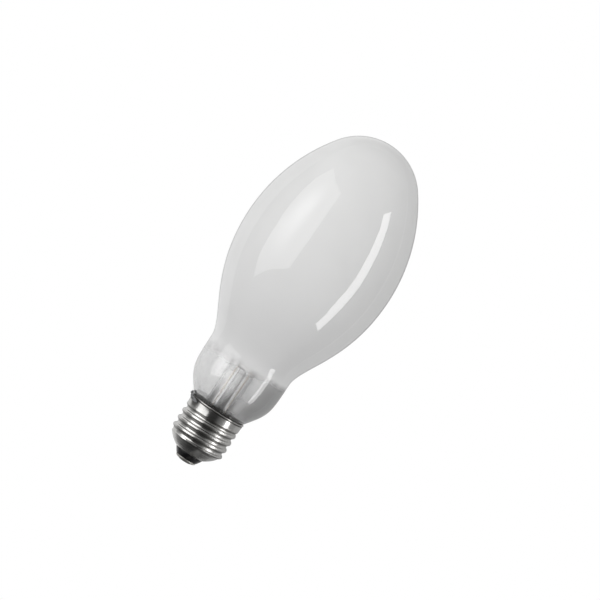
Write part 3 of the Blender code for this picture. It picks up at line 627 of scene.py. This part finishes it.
def glass_finish(name, tints, foot=None):
    """Clear glass that lets lamps through: its tint varies a little with thin smudges.

    With foot, a darker tint and a range of side shares or None, it gets a painted shade towards the cap, where the
    cap's dark inside shows through the glass.
    """
    made, tree, shader, output = new_finish(name)
    smudged = use(tree, "smudges", Scale=60.0, Amount=1.0)
    tint = between(tree, smudged["Mask"], *tints)
    if foot:
        dark, sides = foot
        # Painted shade: the tint darkens low in the neck, towards the cap
        where = use(tree, "around")
        low = eased(tree, where["Height"], *FOOT_SHADE_HEIGHTS)
        if sides:
            low = times(tree, low, eased(tree, where["Side"], *sides))
        tint = between(tree, low, tint, dark)
    tree.links.new(tint, shader.inputs["Base Color"])
    tree.links.new(eased(tree, smudged["Mask"], 0.0, 1.0, 0.0, 0.035), shader.inputs["Roughness"])
    shader.inputs["IOR"].default_value = GLASS_IOR
    shader.inputs["Transmission Weight"].default_value = 1.0
    path = add(tree, "LightPath").outputs
    lamps = maths(tree, "MAXIMUM", path["Is Shadow Ray"], path["Is Diffuse Ray"])
    clear = add(tree, "BsdfTransparent", {"Color": (0.97, 0.97, 0.97, 1)}).outputs[0]
    tree.links.new(add(tree, "MixShader", {0: lamps, 1: shader.outputs[0], 2: clear}).outputs[0], output)
    return made


def coating_finish():
    """White powder inside the glass: full above its edge, a streaked haze below it, with painted shading that greys
    it towards the neck; its inner face has a painted glow for the light that passes through the powder.
    """
    made, tree, shader, _ = new_finish("white_coating")
    grained = use(tree, "grain", Scale=2600.0, Coarse_Scale=35.0)
    where = use(tree, "around")
    powder = between(tree, grained["Mask"], *POWDER)
    # Painted shading: greyer towards the neck, darker on the left, lighter towards the sides
    greyer = between(tree, eased(tree, where["Right"], -0.40, 0.40), *LOW_POWDER_SHADE)
    greyer = between(tree, eased(tree, where["Side"], 0.60, 0.95), greyer, LOW_POWDER_SIDE_LIGHT)
    neck_shade = eased(tree, where["Height"], 0.120, 0.050)
    tree.links.new(between(tree, neck_shade, powder, greyer), shader.inputs["Base Color"])
    shader.inputs["Roughness"].default_value = 0.9
    shader.inputs["Specular IOR Level"].default_value = 0.0
    ragged = add(tree, "TexNoise", {"Vector": places(tree), "Scale": 260.0, "Detail": 3.0}).outputs["Fac"]
    rise = plus(tree, eased(tree, where["Front"], 0.2, 1.0, 0.0, COATING_FRONT_RISE),
                eased(tree, where["Right"], 0.40, 0.60, 0.0, COATING_RIGHT_RISE), COATING_EDGE)
    above = plus(tree, maths(tree, "SUBTRACT", where["Height"], rise), wavering(tree, ragged, 0.9 * COATING_FADE))
    fade = eased(tree, where["Right"], -0.45, 0.15, 2.2 * COATING_FADE, COATING_FADE)
    full = eased(tree, maths(tree, "DIVIDE", above, fade), -0.5, 0.5)
    facing = eased(tree, where["Front"], -0.35, 0.45, 0.14, 0.04)
    left = eased(tree, where["Right"], -0.15, -0.85, 0.0, 0.06)
    thinning = eased(tree, where["Height"], 0.027, COATING_EDGE, 0.7, 1.0)
    streaked = use(tree, "grain", Scale=520.0, Z_Share=0.05, Coarse_Scale=30.0)
    streaks = eased(tree, streaked["Mask"], 0.0, 1.0, 0.75, 1.25)
    haze = times(tree, plus(tree, facing, left), thinning, streaks)
    tree.links.new(maths(tree, "MAXIMUM", full, haze), shader.inputs["Alpha"])
    # Painted glow on the inner face, standing in for light that passes through the powder from outside
    inner = times(tree, add(tree, "NewGeometry").outputs["Backfacing"], full)
    tree.links.new(between(tree, inner, grey(0), PAINTED_INNER_GLOW), shader.inputs["Emission Color"])
    shader.inputs["Emission Strength"].default_value = 1.0
    made.cycles.emission_sampling = "NONE"
    return made


def film_finish():
    """Grey, partly metallic film inside the neck, densest on the right-hand side."""
    made, tree, shader, _ = new_finish("grey_neck_film")
    smudged = use(tree, "smudges", Scale=90.0, Amount=1.0)
    tree.links.new(between(tree, smudged["Mask"], *FILM), shader.inputs["Base Color"])
    shader.inputs["Metallic"].default_value = 0.3
    shader.inputs["Roughness"].default_value = 0.6
    where = use(tree, "around")
    height = where["Height"]
    near = times(tree, eased(tree, where["Right"], 0.05, 0.30), eased(tree, height, *NEAR_FILM))
    far = times(tree, eased(tree, where["Right"], 0.50, 0.62), eased(tree, height, *FAR_FILM))
    front = eased(tree, where["Front"], -0.25, 0.25, 0.50, 1.0)
    low_end = eased(tree, height, FILM_BOTTOM, FILM_BOTTOM + FILM_BOTTOM_FADE)
    top_end = eased(tree, height, FILM_TOP, FILM_TOP - FILM_TOP_FADE)
    limb = eased(tree, where["Side"], 0.86, 0.97, 0.0, 0.12)
    veil = plus(tree, limb, eased(tree, height, *VEIL))
    dense = plus(tree, times(tree, plus(tree, near, far), front, low_end), veil)
    tree.links.new(maths(tree, "MINIMUM", times(tree, dense, top_end), 1.0), shader.inputs["Alpha"])
    return made


def ring_shade_finish():
    """Painted shade where the glass goes down into the cap and the cap's dark inside shows through, darkest in the
    middle, fading out upwards.
    """
    made, tree, shader, _ = new_finish("cement_shadow")
    grained = use(tree, "grain", Scale=700.0, Coarse_Scale=160.0)
    tree.links.new(between(tree, grained["Mask"], *RING_SHADE_TINTS), shader.inputs["Base Color"])
    shader.inputs["Roughness"].default_value = 0.8
    where = use(tree, "around")
    level = plus(tree, where["Height"], wavering(tree, grained["Mask"], 0.0003))
    upper = eased(tree, level, RING_TOP, RING_TOP - 0.0005, 0.0, 0.42)
    lower = eased(tree, level, RING_TOP - 0.0008, RING_FULL, 0.0, 0.56)
    middle = eased(tree, where["Side"], 0.45, 0.70, 1.0, 0.05)
    tree.links.new(plus(tree, upper, times(tree, lower, middle)), shader.inputs["Alpha"])
    return made


# Glass pieces

def make_bulb():
    """Glass envelope with its wall, the coating just inside it, and the film in the neck."""
    glass = glass_finish("bulb_glass", BULB_TINTS)
    outer = glass_outline()
    inner = offset(outer, BULB_WALL)
    inner[0] = (0.0, outer[0][1] - BULB_WALL)
    inner[-1] = (inner[-1][0], SEAL)
    show("envelope", *spun(outer + list(reversed(inner))), glass, "bulb_glass", "outer_bulb")
    coated = offset(outer, BULB_WALL - COATING_SINK)
    coated[0] = (0.0, outer[0][1] - BULB_WALL + COATING_SINK)
    coated = [point for point in coated if point[1] > FILM_BOTTOM]
    show("powder_coating", *spun(coated), coating_finish(), "bulb_glass")
    for name, sink, low, high, finish, slot in (
            ("neck_film", FILM_SINK, FILM_BOTTOM, FILM_TOP, film_finish(), "getter_steel"),
            ("neck_ring", RING_SINK, RING_BOTTOM, RING_TOP + RING_OVERLAP, ring_shade_finish(), "cement")):
        show(name, *spun(cut(offset(outer, BULB_WALL - sink), low, high)), finish, slot)


def stem_ring(half_width, half_thickness, height, flatness):
    """Ring that goes from a circle to a rounded bar as flatness goes from 0 to 1."""
    power = 1 - 0.45 * flatness
    ring = []
    for angle in spaced(0, math.tau, SMALL_ROUND + 1)[:-1]:
        x, y = math.cos(angle), math.sin(angle)
        ring.append((half_width * math.copysign(abs(x) ** power, x),
                     half_thickness * math.copysign(abs(y) ** power, y), height))
    return ring


def make_stem():
    """Flared tube whose top is pinched into a flat press."""
    clear = glass_finish("stem_glass", STEM_TINTS, STEM_FOOT_SHADE)
    flare = bezier((STEM_RADIUS, SEAL + FLARE_HEIGHT), (STEM_RADIUS, SEAL + FLARE_CURVE[0] * FLARE_HEIGHT),
                   (FLARE_RADIUS, SEAL + FLARE_CURVE[1] * FLARE_HEIGHT), (FLARE_RADIUS, SEAL), 20)
    inner_flare = offset(flare, STEM_WALL)
    inner_flare[-1] = (inner_flare[-1][0], SEAL)
    bore = STEM_RADIUS - STEM_WALL
    rings = [stem_ring(bore * 0.02, bore * 0.02, PINCH + 0.40 * PINCH_LENGTH, 0)]
    rings += [stem_ring(bore * wide, bore * thick, PINCH + rise * PINCH_LENGTH, 0) for wide, thick, rise in BORE_END]
    rings += [stem_ring(radius, radius, height, 0) for radius, height in inner_flare]
    rings += [stem_ring(radius, radius, height, 0) for radius, height in reversed(flare)]
    for share in spaced(0, 1, 17):
        flat = smooth(share)
        rings.append(stem_ring(STEM_RADIUS + (PRESS_HALF_WIDTH - STEM_RADIUS) * flat,
                               STEM_RADIUS + (PRESS_HALF_THICKNESS - STEM_RADIUS) * flat,
                               PINCH + PINCH_LENGTH * share, flat))
    rings.append(stem_ring(PRESS_HALF_WIDTH, PRESS_HALF_THICKNESS, PRESS_TOP - PRESS_EDGE, 1))
    for share in spaced(0, math.pi / 2, 5)[1:]:
        shrink = PRESS_EDGE * (1 - math.cos(share))
        rings.append(stem_ring(PRESS_HALF_WIDTH - shrink, PRESS_HALF_THICKNESS - shrink,
                               PRESS_TOP - PRESS_EDGE * (1 - math.sin(share)), 1))
    rings = [[(x - STEM_LEAN * smooth((z - SEAL) / FLARE_HEIGHT), y, z) for x, y, z in ring] for ring in rings]
    rings.reverse()
    show("stem_tube", *skin(rings, first_cap=True, last_cap=True), clear, "clear_glass", "stem")


def make_exhaust_tube():
    """Thin tube inside the stem, drawn off to a closed tip inside the cap."""
    clear = glass_finish("tube_glass", STEM_TINTS, TUBE_FOOT_SHADE)
    tip = INSULATOR_TOP + EXHAUST_TAIL
    top = PINCH + EXHAUST_SEAT
    bore = EXHAUST_RADIUS - EXHAUST_WALL
    outer = [(EXHAUST_RADIUS, top)]
    outer += bezier((EXHAUST_RADIUS, tip + 2 * EXHAUST_RADIUS), (EXHAUST_RADIUS, tip + EXHAUST_RADIUS),
                    (0.6 * EXHAUST_RADIUS, tip + 0.3 * EXHAUST_RADIUS), (0.0, tip), 16)
    inner = bezier((0.0, tip + 2 * EXHAUST_WALL), (0.6 * bore, tip + EXHAUST_RADIUS),
                   (bore, tip + 1.4 * EXHAUST_RADIUS), (bore, tip + 2 * EXHAUST_RADIUS), 12)
    show("pump_tube", *spun(outer + inner + [(bore, top)], 64, closed=True), clear, "clear_glass", "exhaust_tube")


# Cap pieces

def side_offset(angle, height):
    """How far a point on the cap lies from the side solder, along the rim and along the axis."""
    turn = (angle - SIDE_LEAD_ANGLE + math.pi) % math.tau - math.pi
    return turn * RIM_RADIUS, height - RIM


def dented_radius(angle, height):
    """Outer radius of the shell with the bead of its rim and the dents that soldering leaves beside it."""
    radius = shell_radius(angle, height)
    below = RIM - height
    if below < RIM_BEAD:
        radius += BEAD_OUT * math.sin(math.pi * max(below / RIM_BEAD, 0.0))
    elif below < 2 * RIM_BEAD:
        radius -= GROOVE_IN * math.sin(math.pi * (below / RIM_BEAD - 1))
    along, up = side_offset(angle, height)
    near = smooth(1 - abs(along) / DENT_WIDTH) * smooth(1 + up / DENT_DROP)
    if near > 0:
        spot = Vector((along * 420, up * 520, 3.1))
        radius += near * (DENT_DEPTH * noise.noise(spot) - DENT_PRESS)
    ripple = SHELL_RIPPLE * noise.noise(Vector((math.cos(angle) * 4, math.sin(angle) * 4, height * 260)))
    return radius + ripple


def rim_wave(angle):
    """Small rise and fall of the rim round the cap."""
    return RIM_RIPPLE * noise.noise(Vector((math.cos(angle) * 3.2, math.sin(angle) * 3.2, 8.0)))


def nickel_finish():
    """Nickel plate, with painted shade in the groove under the rim and on the lower flanks of the thread, a painted
    highlight on the upper flanks towards the front, and a darker patch beside the side solder.

    Its spun base, below the thread, is rougher, with rings and smudges.
    """
    made, tree, shader, _ = new_finish("nickel_plate")
    grained = use(tree, "grain", Scale=900.0, Z_Share=9.0, Coarse_Scale=55.0)
    smudged = use(tree, "smudges", Scale=120.0, Amount=1.0)
    where = use(tree, "around")
    height = where["Height"]
    upward = add(tree, "SeparateXYZ", {0: add(tree, "TexCoord").outputs["Normal"]}).outputs[2]
    threaded = times(tree, eased(tree, height, THREAD_TOP + 0.0006, THREAD_TOP - 0.0004),
                     eased(tree, height, THREAD_BOTTOM - 0.0012, THREAD_BOTTOM - 0.0002))
    base = eased(tree, height, THREAD_BOTTOM - 0.0004, THREAD_BOTTOM - 0.0016)

    # Painted shade in the groove under the rim bead
    groove = times(tree, eased(tree, height, RIM - 2.3 * RIM_BEAD, RIM - 1.9 * RIM_BEAD),
                   eased(tree, height, RIM - 1.1 * RIM_BEAD, RIM - 1.4 * RIM_BEAD), 0.9)
    # A darker patch below the rim beside the side solder
    angle = SIDE_LEAD_ANGLE + 0.1
    place = (RIM_RADIUS * math.cos(angle), RIM_RADIUS * math.sin(angle), RIM - SOLDER_PATCH_DROP)
    apart = add(tree, "VectorMath", {0: places(tree), 1: place}, operation="DISTANCE").outputs["Value"]
    solder_patch = eased(tree, plus(tree, apart, wavering(tree, smudged["Mask"], 0.0016)), 0.0034, 0.0016, 0.0, 0.85)
    # Painted shade on the downward-facing flanks of the thread
    flank = times(tree, eased(tree, upward, -0.15, -0.50, 0.0, 0.65), threaded,
                  eased(tree, grained["Mask"], 0.0, 1.0, 0.7, 1.2))
    darkening = maths(tree, "MAXIMUM", maths(tree, "MAXIMUM", groove, solder_patch), flank)
    # Painted highlight: lighter nickel on the upward-facing flanks towards the front
    lit_flank = times(tree, eased(tree, upward, 0.15, 0.50), eased(tree, where["Front"], 0.30, 0.75))
    plain = between(tree, lit_flank, between(tree, grained["Mask"], *NICKEL), LIT_NICKEL)
    tree.links.new(between(tree, darkening, plain, DARK_NICKEL), shader.inputs["Base Color"])

    worn = plus(tree, times(tree, grained["Mask"], 0.6), times(tree, smudged["Mask"], 0.4))
    rough = plus(tree, eased(tree, worn, 0.0, 1.0, 0.15, 0.29), times(tree, darkening, 0.25),
                 times(tree, eased(tree, where["Right"], 0.20, 0.40, 0.0, 0.10), threaded),
                 times(tree, base, eased(tree, smudged["Mask"], 0.3, 0.7, 0.05, 0.30)))
    tree.links.new(rough, shader.inputs["Roughness"])
    shader.inputs["Metallic"].default_value = 1.0

    spinning = maths(tree, "SINE", times(tree, height, math.tau / SPIN_PITCH))
    spun_part = eased(tree, height, THREAD_BOTTOM - 0.0004, THREAD_BOTTOM - 0.0014, 0.0, 3.2)
    spinning = times(tree, spinning, spun_part, eased(tree, worn, 0.2, 0.7, 0.5, 1.0))
    marks = plus(tree, grained["Height"], spinning, times(tree, base, smudged["Mask"], 6.0))
    tree.links.new(bumped(tree, marks, 0.000012), shader.inputs["Normal"])
    return made


def make_shell():
    """Cap shell with its rolled thread, drawn fine, with the wall of its sheet inside."""
    nickel = nickel_finish()
    heights = [height for _, height in reversed(BASE_LINE)]
    heights += spaced(THREAD_BOTTOM, THREAD_TOP, round(THREAD_LENGTH / THREAD_ROW) + 1)[1:]
    heights += spaced(THREAD_TOP, RIM, 52)[1:]
    angles = spaced(0, math.tau, CAP_ROUND + 1)[:-1]
    outer, inner = [], []
    for height in heights:
        out_ring, in_ring = [], []
        lifted = smooth((height - THREAD_TOP) / BAND_HEIGHT)
        for angle in angles:
            radius = dented_radius(angle, height)
            z = height + rim_wave(angle) * lifted
            out_ring.append((radius * math.cos(angle), radius * math.sin(angle), z))
            radius -= SHEET
            in_ring.append((radius * math.cos(angle), radius * math.sin(angle), z))
        outer.append(out_ring)
        inner.append(in_ring)
    inwards = 1 - SHEET / 2 / RIM_RADIUS
    lip = [[(x * inwards, y * inwards, z + 0.00006) for x, y, z in outer[-1]]]
    rings = list(reversed(outer)) + inner + lip
    points, faces = skin(rings, closed=True)
    show("screw_shell", points, faces, nickel, "nickel_plate", "cap_shell")


def make_insulator():
    """Black glass foot of the cap, with soft edges."""
    black, tree, shader, _ = new_finish("black_glass")
    smudged = use(tree, "smudges", Scale=240.0, Amount=1.0)
    tree.links.new(between(tree, smudged["Mask"], *BLACK), shader.inputs["Base Color"])
    shader.inputs["Specular IOR Level"].default_value = 0.35
    tree.links.new(eased(tree, smudged["Mask"], 0, 1, 0.16, 0.42), shader.inputs["Roughness"])
    bore = EYELET_BORE + EYELET_WALL + FIT
    seat = offset(BASE_LINE, SHEET + FIT)
    inside = [point for point in seat if LIP + 2 * SHEET < point[1] < INSULATOR_TOP]
    top_radius = radius_at(seat, INSULATOR_TOP)
    waist = LIP_RADIUS - FIT - SHEET
    line = [(bore, INSULATOR_TOP), (top_radius, INSULATOR_TOP), *inside, (waist, LIP + SHEET + FIT)]
    foot = filleted([(waist, LIP + SHEET + FIT), (waist, LIP - FIT), (LIP_RADIUS - SHEET, LIP - 2 * FIT),
                     (INSULATOR_FOOT_RADIUS, INSULATOR_FOOT), (bore, INSULATOR_FOOT)], 0.0003)
    show("black_foot", *spun(line + foot[1:], SMALL_ROUND, closed=True), black, "insulator_glass", "cap_insulator")


def make_contact():
    """Eyelet plate under the foot and the flat drop of solder that closes it."""
    plate = metal_finish("contact_plate", (0.42, 0.41, 0.39), (0.58, 0.57, 0.54), (0.46, 0.62),
                         {"Scale": 1500.0, "Coarse_Scale": 300.0}, bump=0.00001)
    eyelet = EYELET_BORE + EYELET_WALL
    under = CONTACT_RADIUS - CONTACT_ROUND_WIDTH
    edge = bezier((CONTACT_RADIUS, SOLDER_HEIGHT + CONTACT_ROUND_HEIGHT),
                  (CONTACT_RADIUS, SOLDER_HEIGHT + CONTACT_CURVE * CONTACT_ROUND_HEIGHT),
                  (under + CONTACT_CURVE * CONTACT_ROUND_WIDTH, SOLDER_HEIGHT), (under, SOLDER_HEIGHT), 12)
    line = filleted([(eyelet, CONTACT_TOP + EYELET_HEIGHT), (eyelet, CONTACT_TOP), (CONTACT_RADIUS, CONTACT_TOP),
                     *edge, (EYELET_BORE, SOLDER_HEIGHT), (EYELET_BORE, CONTACT_TOP + EYELET_HEIGHT)], 0.0001)
    show("contact_plate", *spun(line, SMALL_ROUND, closed=True), plate, "contact_metal", "centre_contact")
    solder = solder_finish()
    seat = SOLDER_HEIGHT - FIT
    plug = EYELET_BORE - FIT
    dome = bezier((SOLDER_RADIUS, seat), (SOLDER_RADIUS - 0.2 * seat, 0.4 * seat), (SOLDER_FLAT_RADIUS + seat, 0.0),
                  (SOLDER_FLAT_RADIUS, 0.0), 10)
    rings = [(0.0, CONTACT_TOP), (plug, CONTACT_TOP), (plug, seat)] + dome + [(0.0, 0.0)]
    points, faces = spun(rings, 64)
    moved = []
    for x, y, z in points:
        push = 1 + 0.06 * noise.noise(Vector((x * 500, y * 500, 1.7)))
        moved.append((x * push, y * push, z) if z < seat + FIT / 2 else (x, y, z))
    show("contact_solder", moved, faces, solder, "solder", "centre_solder")
    return solder


def solder_finish():
    return metal_finish("solder", (0.19, 0.19, 0.195), (0.44, 0.44, 0.45), (0.36, 0.60),
                        {"Scale": 1100.0, "Coarse_Scale": 420.0}, bump=0.00004)


def make_side_solder(solder):
    """Crumpled lump of solder over the rim, pointed and raised at its left end, where the side lead comes out."""
    rows, steps = 48, 48
    neck = neck_outline(4)
    rings = []
    for i in range(1, rows):
        share = i / rows
        angle = SIDE_LEAD_ANGLE - LUMP_BACK + LUMP_SPAN * share
        out = Vector((math.cos(angle), math.sin(angle), 0))
        side = Vector((-out.y, out.x, 0))
        knob = smooth(1 - share / 0.45)
        middle = out * (RIM_RADIUS + 0.0002 + 0.0005 * knob)
        middle += Vector((0, 0, RIM - 0.0016 + 0.0009 * smooth(1 - share) + 0.0016 * knob))
        thick = math.sqrt(math.sin(math.pi * share)) * (LUMP_THICKNESS + KNOB_THICKNESS * knob)
        ring = []
        for k in range(steps):
            turn = math.tau * k / steps
            unit = Vector((math.cos(turn), math.sin(turn), share * 9))
            rough = 1 + 0.9 * noise.noise(unit * 1.1) + 0.55 * noise.noise(unit * 2.9) + 0.25 * noise.noise(unit * 7)
            point = middle + out * math.cos(turn) * thick * rough + Vector((0, 0, math.sin(turn) * thick * rough))
            point += side * 0.0006 * noise.noise(unit * 2.2 + Vector((3, 1, 0)))
            flat = Vector((point.x, point.y))
            least = plain_radius(min(point.z, RIM)) + 0.00004 if point.z < RIM + 0.0002 else 0.0
            least = max(least, radius_at(neck, point.z) + 0.00006)
            if flat.length < least:
                flat *= least / flat.length
            ring.append((flat.x, flat.y, point.z))
        rings.append(ring)
    show("solder_lump", *skin(rings, first_cap=True, last_cap=True), solder, "solder", "side_solder")


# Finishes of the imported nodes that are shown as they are

def dress_nodes():
    drawn_wire = {"Scale": 1400.0, "Z_Share": 0.12, "Coarse_Scale": 90.0}
    rolled = {"Scale": 1600.0, "Z_Share": 0.3, "Coarse_Scale": 120.0}
    sintered = {"Scale": 2200.0, "Coarse_Scale": 150.0}
    finishes = {
        # Cement painted near black brown: painted shade for its place in the dark inside of the shell
        "cement": metal_finish("cement_in_shade", (0.055, 0.048, 0.042), (0.13, 0.115, 0.10), (0.75, 0.95),
                               {"Scale": 1300.0, "Coarse_Scale": 380.0}, bump=0.0002, metallic=0.0),
        "lead_wire": metal_finish("lead_wire", (0.42, 0.36, 0.31), (0.55, 0.49, 0.43), (0.25, 0.45), drawn_wire),
        "frame_wire": metal_finish("frame_wire", (0.42, 0.42, 0.42), (0.56, 0.56, 0.56), (0.22, 0.4), drawn_wire),
        "spring_strip": metal_finish("strip", (0.46, 0.46, 0.45), (0.6, 0.6, 0.59), (0.2, 0.38), rolled),
        "alumina": metal_finish("alumina", (0.80, 0.79, 0.76), (0.88, 0.87, 0.84), (0.3, 0.5), sintered,
                                metallic=0.0),
        "seal_frit": metal_finish("seal_frit", (0.45, 0.44, 0.41), (0.58, 0.57, 0.53), (0.35, 0.6), sintered,
                                  metallic=0.0),
        "niobium": metal_finish("niobium", (0.40, 0.39, 0.38), (0.52, 0.51, 0.50), (0.3, 0.45), drawn_wire),
        "tungsten": metal_finish("tungsten", (0.22, 0.22, 0.23), (0.34, 0.34, 0.35), (0.35, 0.55), sintered),
        "getter_steel": metal_finish("getter_steel", (0.33, 0.33, 0.34), (0.45, 0.45, 0.46), (0.3, 0.5), rolled),
    }
    for part in frame["record"]["subparts"]:
        finish = finishes.get(part["material_slot"])
        if finish is None:
            continue
        data = frame["nodes"][part["node"]].data
        data.materials.clear()
        data.materials.append(finish)


# Studio

def make_camera():
    back = Vector((0, -math.cos(ELEVATION), math.sin(ELEVATION)))
    turn = (-back).to_track_quat("-Z", "Y") @ Quaternion((0, 0, 1), ROLL)
    data = bpy.data.cameras.new("camera")
    data.lens = LENS
    data.sensor_width = SENSOR
    data.clip_start = 0.05
    data.clip_end = 20.0
    camera = bpy.data.objects.new("camera", data)
    camera.rotation_mode = "QUATERNION"
    camera.rotation_quaternion = turn
    up, right = turn @ Vector((0, 1, 0)), turn @ Vector((1, 0, 0))
    camera.location = (Vector((0, 0, AIM_HEIGHT)) + back * DISTANCE - up * AIM_ABOVE_CENTRE
                       - right * AIM_RIGHT_OF_CENTRE)
    bpy.context.scene.collection.objects.link(camera)
    bpy.context.scene.camera = camera


def make_lamp(name, centre, facing, width, height, radiance):
    """Upright softbox: an area lamp of even radiance, with its height along Z."""
    data = bpy.data.lights.new(name, "AREA")
    data.shape = "RECTANGLE"
    data.size = width
    data.size_y = height
    data.energy = radiance * math.pi * width * height
    lamp = bpy.data.objects.new(name, data)
    lamp.location = centre
    lamp.rotation_euler = Vector(facing).to_track_quat("-Z", "Y").to_euler()
    lamp.visible_camera = False
    lamp.visible_glossy = False
    bpy.context.scene.collection.objects.link(lamp)
    return lamp


def make_world():
    """White to the camera and through glass; a studio with a dark front to mirrors; an even level to the rest."""
    world = bpy.data.worlds.new("studio")
    bpy.context.scene.world = world
    world.use_nodes = True
    tree = world.node_tree
    path = add(tree, "LightPath").outputs
    direction = add(tree, "SeparateXYZ", {0: add(tree, "TexCoord").outputs["Generated"]}).outputs
    along, away, upward = direction
    ceiling = times(tree, eased(tree, upward, *CEILING_START), eased(tree, upward, *CEILING_END),
                    eased(tree, along, *CEILING_SIDE))
    walls = plus(tree, eased(tree, maths(tree, "ABSOLUTE", along), *WALL_LEVELS), eased(tree, upward, *SKY_LEVELS),
                 ceiling)
    seam = times(tree, eased(tree, away, *SEAM_START), eased(tree, away, *SEAM_END), eased(tree, along, *SEAM_SIDE))
    backdrop = times(tree, plus(tree, eased(tree, along, *BACKDROP_SIDES), seam),
                     eased(tree, away, *BACKDROP_GRAZING), eased(tree, upward, *BACKDROP_FOOT),
                     eased(tree, upward, *BACKDROP_HEAD))
    plain = maths(tree, "SUBTRACT", eased(tree, upward, *PLAIN_LEVELS), eased(tree, upward, *PLAIN_DIP))
    level = mixed(tree, eased(tree, away, *BACKDROP_START), walls, backdrop)
    level = mixed(tree, path["Is Glossy Ray"], plain, level)
    level = mixed(tree, path["Is Transmission Ray"], level, eased(tree, away, *THROUGH_GLASS))
    level = mixed(tree, path["Is Camera Ray"], level, 1.0)
    ground = tree.nodes["Background"]
    ground.inputs["Color"].default_value = (1, 1, 1, 1)
    tree.links.new(level, ground.inputs["Strength"])


def make_floor():
    """Pale round floor well below the lamp, which is held by its cap; it meets the white ground at its edge."""
    mesh = bpy.data.meshes.new("floor")
    rim = [(FLOOR_RADIUS * math.cos(angle), FLOOR_RADIUS * math.sin(angle), FLOOR_HEIGHT)
           for angle in spaced(0, math.tau, SMALL_ROUND + 1)[:-1]]
    mesh.from_pydata(rim, [], [tuple(range(SMALL_ROUND))])
    finish, tree, shader, output = new_finish("pale_floor")
    speckle = add(tree, "TexNoise", {"Vector": places(tree), "Scale": 30.0, "Detail": 3.0}).outputs["Fac"]
    tree.links.new(between(tree, speckle, grey(0.70), grey(0.74)), shader.inputs["Base Color"])
    shader.inputs["Roughness"].default_value = 0.9
    away = add(tree, "VectorMath", {0: places(tree)}, operation="LENGTH").outputs["Value"]
    edge = eased(tree, away, *FLOOR_EDGE)
    glow = add(tree, "Emission", {"Color": (1, 1, 1, 1), "Strength": 1.0}).outputs[0]
    path = add(tree, "LightPath").outputs
    shown = maths(tree, "MAXIMUM", path["Is Camera Ray"], path["Is Transmission Ray"])
    share = times(tree, shown, edge)
    tree.links.new(add(tree, "MixShader", {0: share, 1: shader.outputs[0], 2: glow}).outputs[0], output)
    mesh.materials.append(finish)
    floor = bpy.data.objects.new("floor", mesh)
    floor.visible_glossy = False
    bpy.context.scene.collection.objects.link(floor)


def make_card(name, centre, facing, corners, level, hot=0.0):
    """Glowing card that only mirrors show, with a soft hot place if hot adds to its level there."""
    mesh = bpy.data.meshes.new(name)
    mesh.from_pydata([(x, y, 0.0) for x, y in corners], [], [tuple(range(len(corners)))])
    made, tree, _, output = new_finish(name)
    around = add(tree, "VectorMath", {0: places(tree), 1: (*HOT_PLACE, 0.0)}, operation="SUBTRACT").outputs[0]
    share = add(tree, "VectorMath", {0: around, 1: (*HOT_REACH, 1.0)}, operation="DIVIDE").outputs[0]
    far = add(tree, "VectorMath", {0: share}, operation="LENGTH").outputs["Value"]
    glow = add(tree, "Emission", {"Color": (1, 1, 1, 1), "Strength": eased(tree, far, 1.0, 0.0, level, level + hot)})
    tree.links.new(glow.outputs[0], output)
    mesh.materials.append(made)
    card = bpy.data.objects.new(name, mesh)
    card.location = centre
    normal = Vector(facing).normalized()
    across = Vector((0, 0, 1)).cross(normal).normalized()
    turn = Matrix((across, normal.cross(across), normal)).transposed()
    card.rotation_euler = turn.to_euler()
    card.visible_camera = False
    card.visible_diffuse = False
    card.visible_shadow = False
    bpy.context.scene.collection.objects.link(card)


def make_studio():
    make_world()
    make_floor()
    make_lamp("left_softbox", *LEFT_SOFTBOX)
    make_lamp("right_strip", *RIGHT_STRIP)
    make_card("left_card", *LEFT_CARD, hot=HOT_LEVEL)
    make_card("right_card", *RIGHT_CARD)
    bpy.context.scene.view_settings.view_transform = "Standard"


def main():
    make_camera()
    make_studio()
    make_bulb()
    make_stem()
    make_exhaust_tube()
    make_shell()
    make_insulator()
    make_side_solder(make_contact())
    dress_nodes()


main()
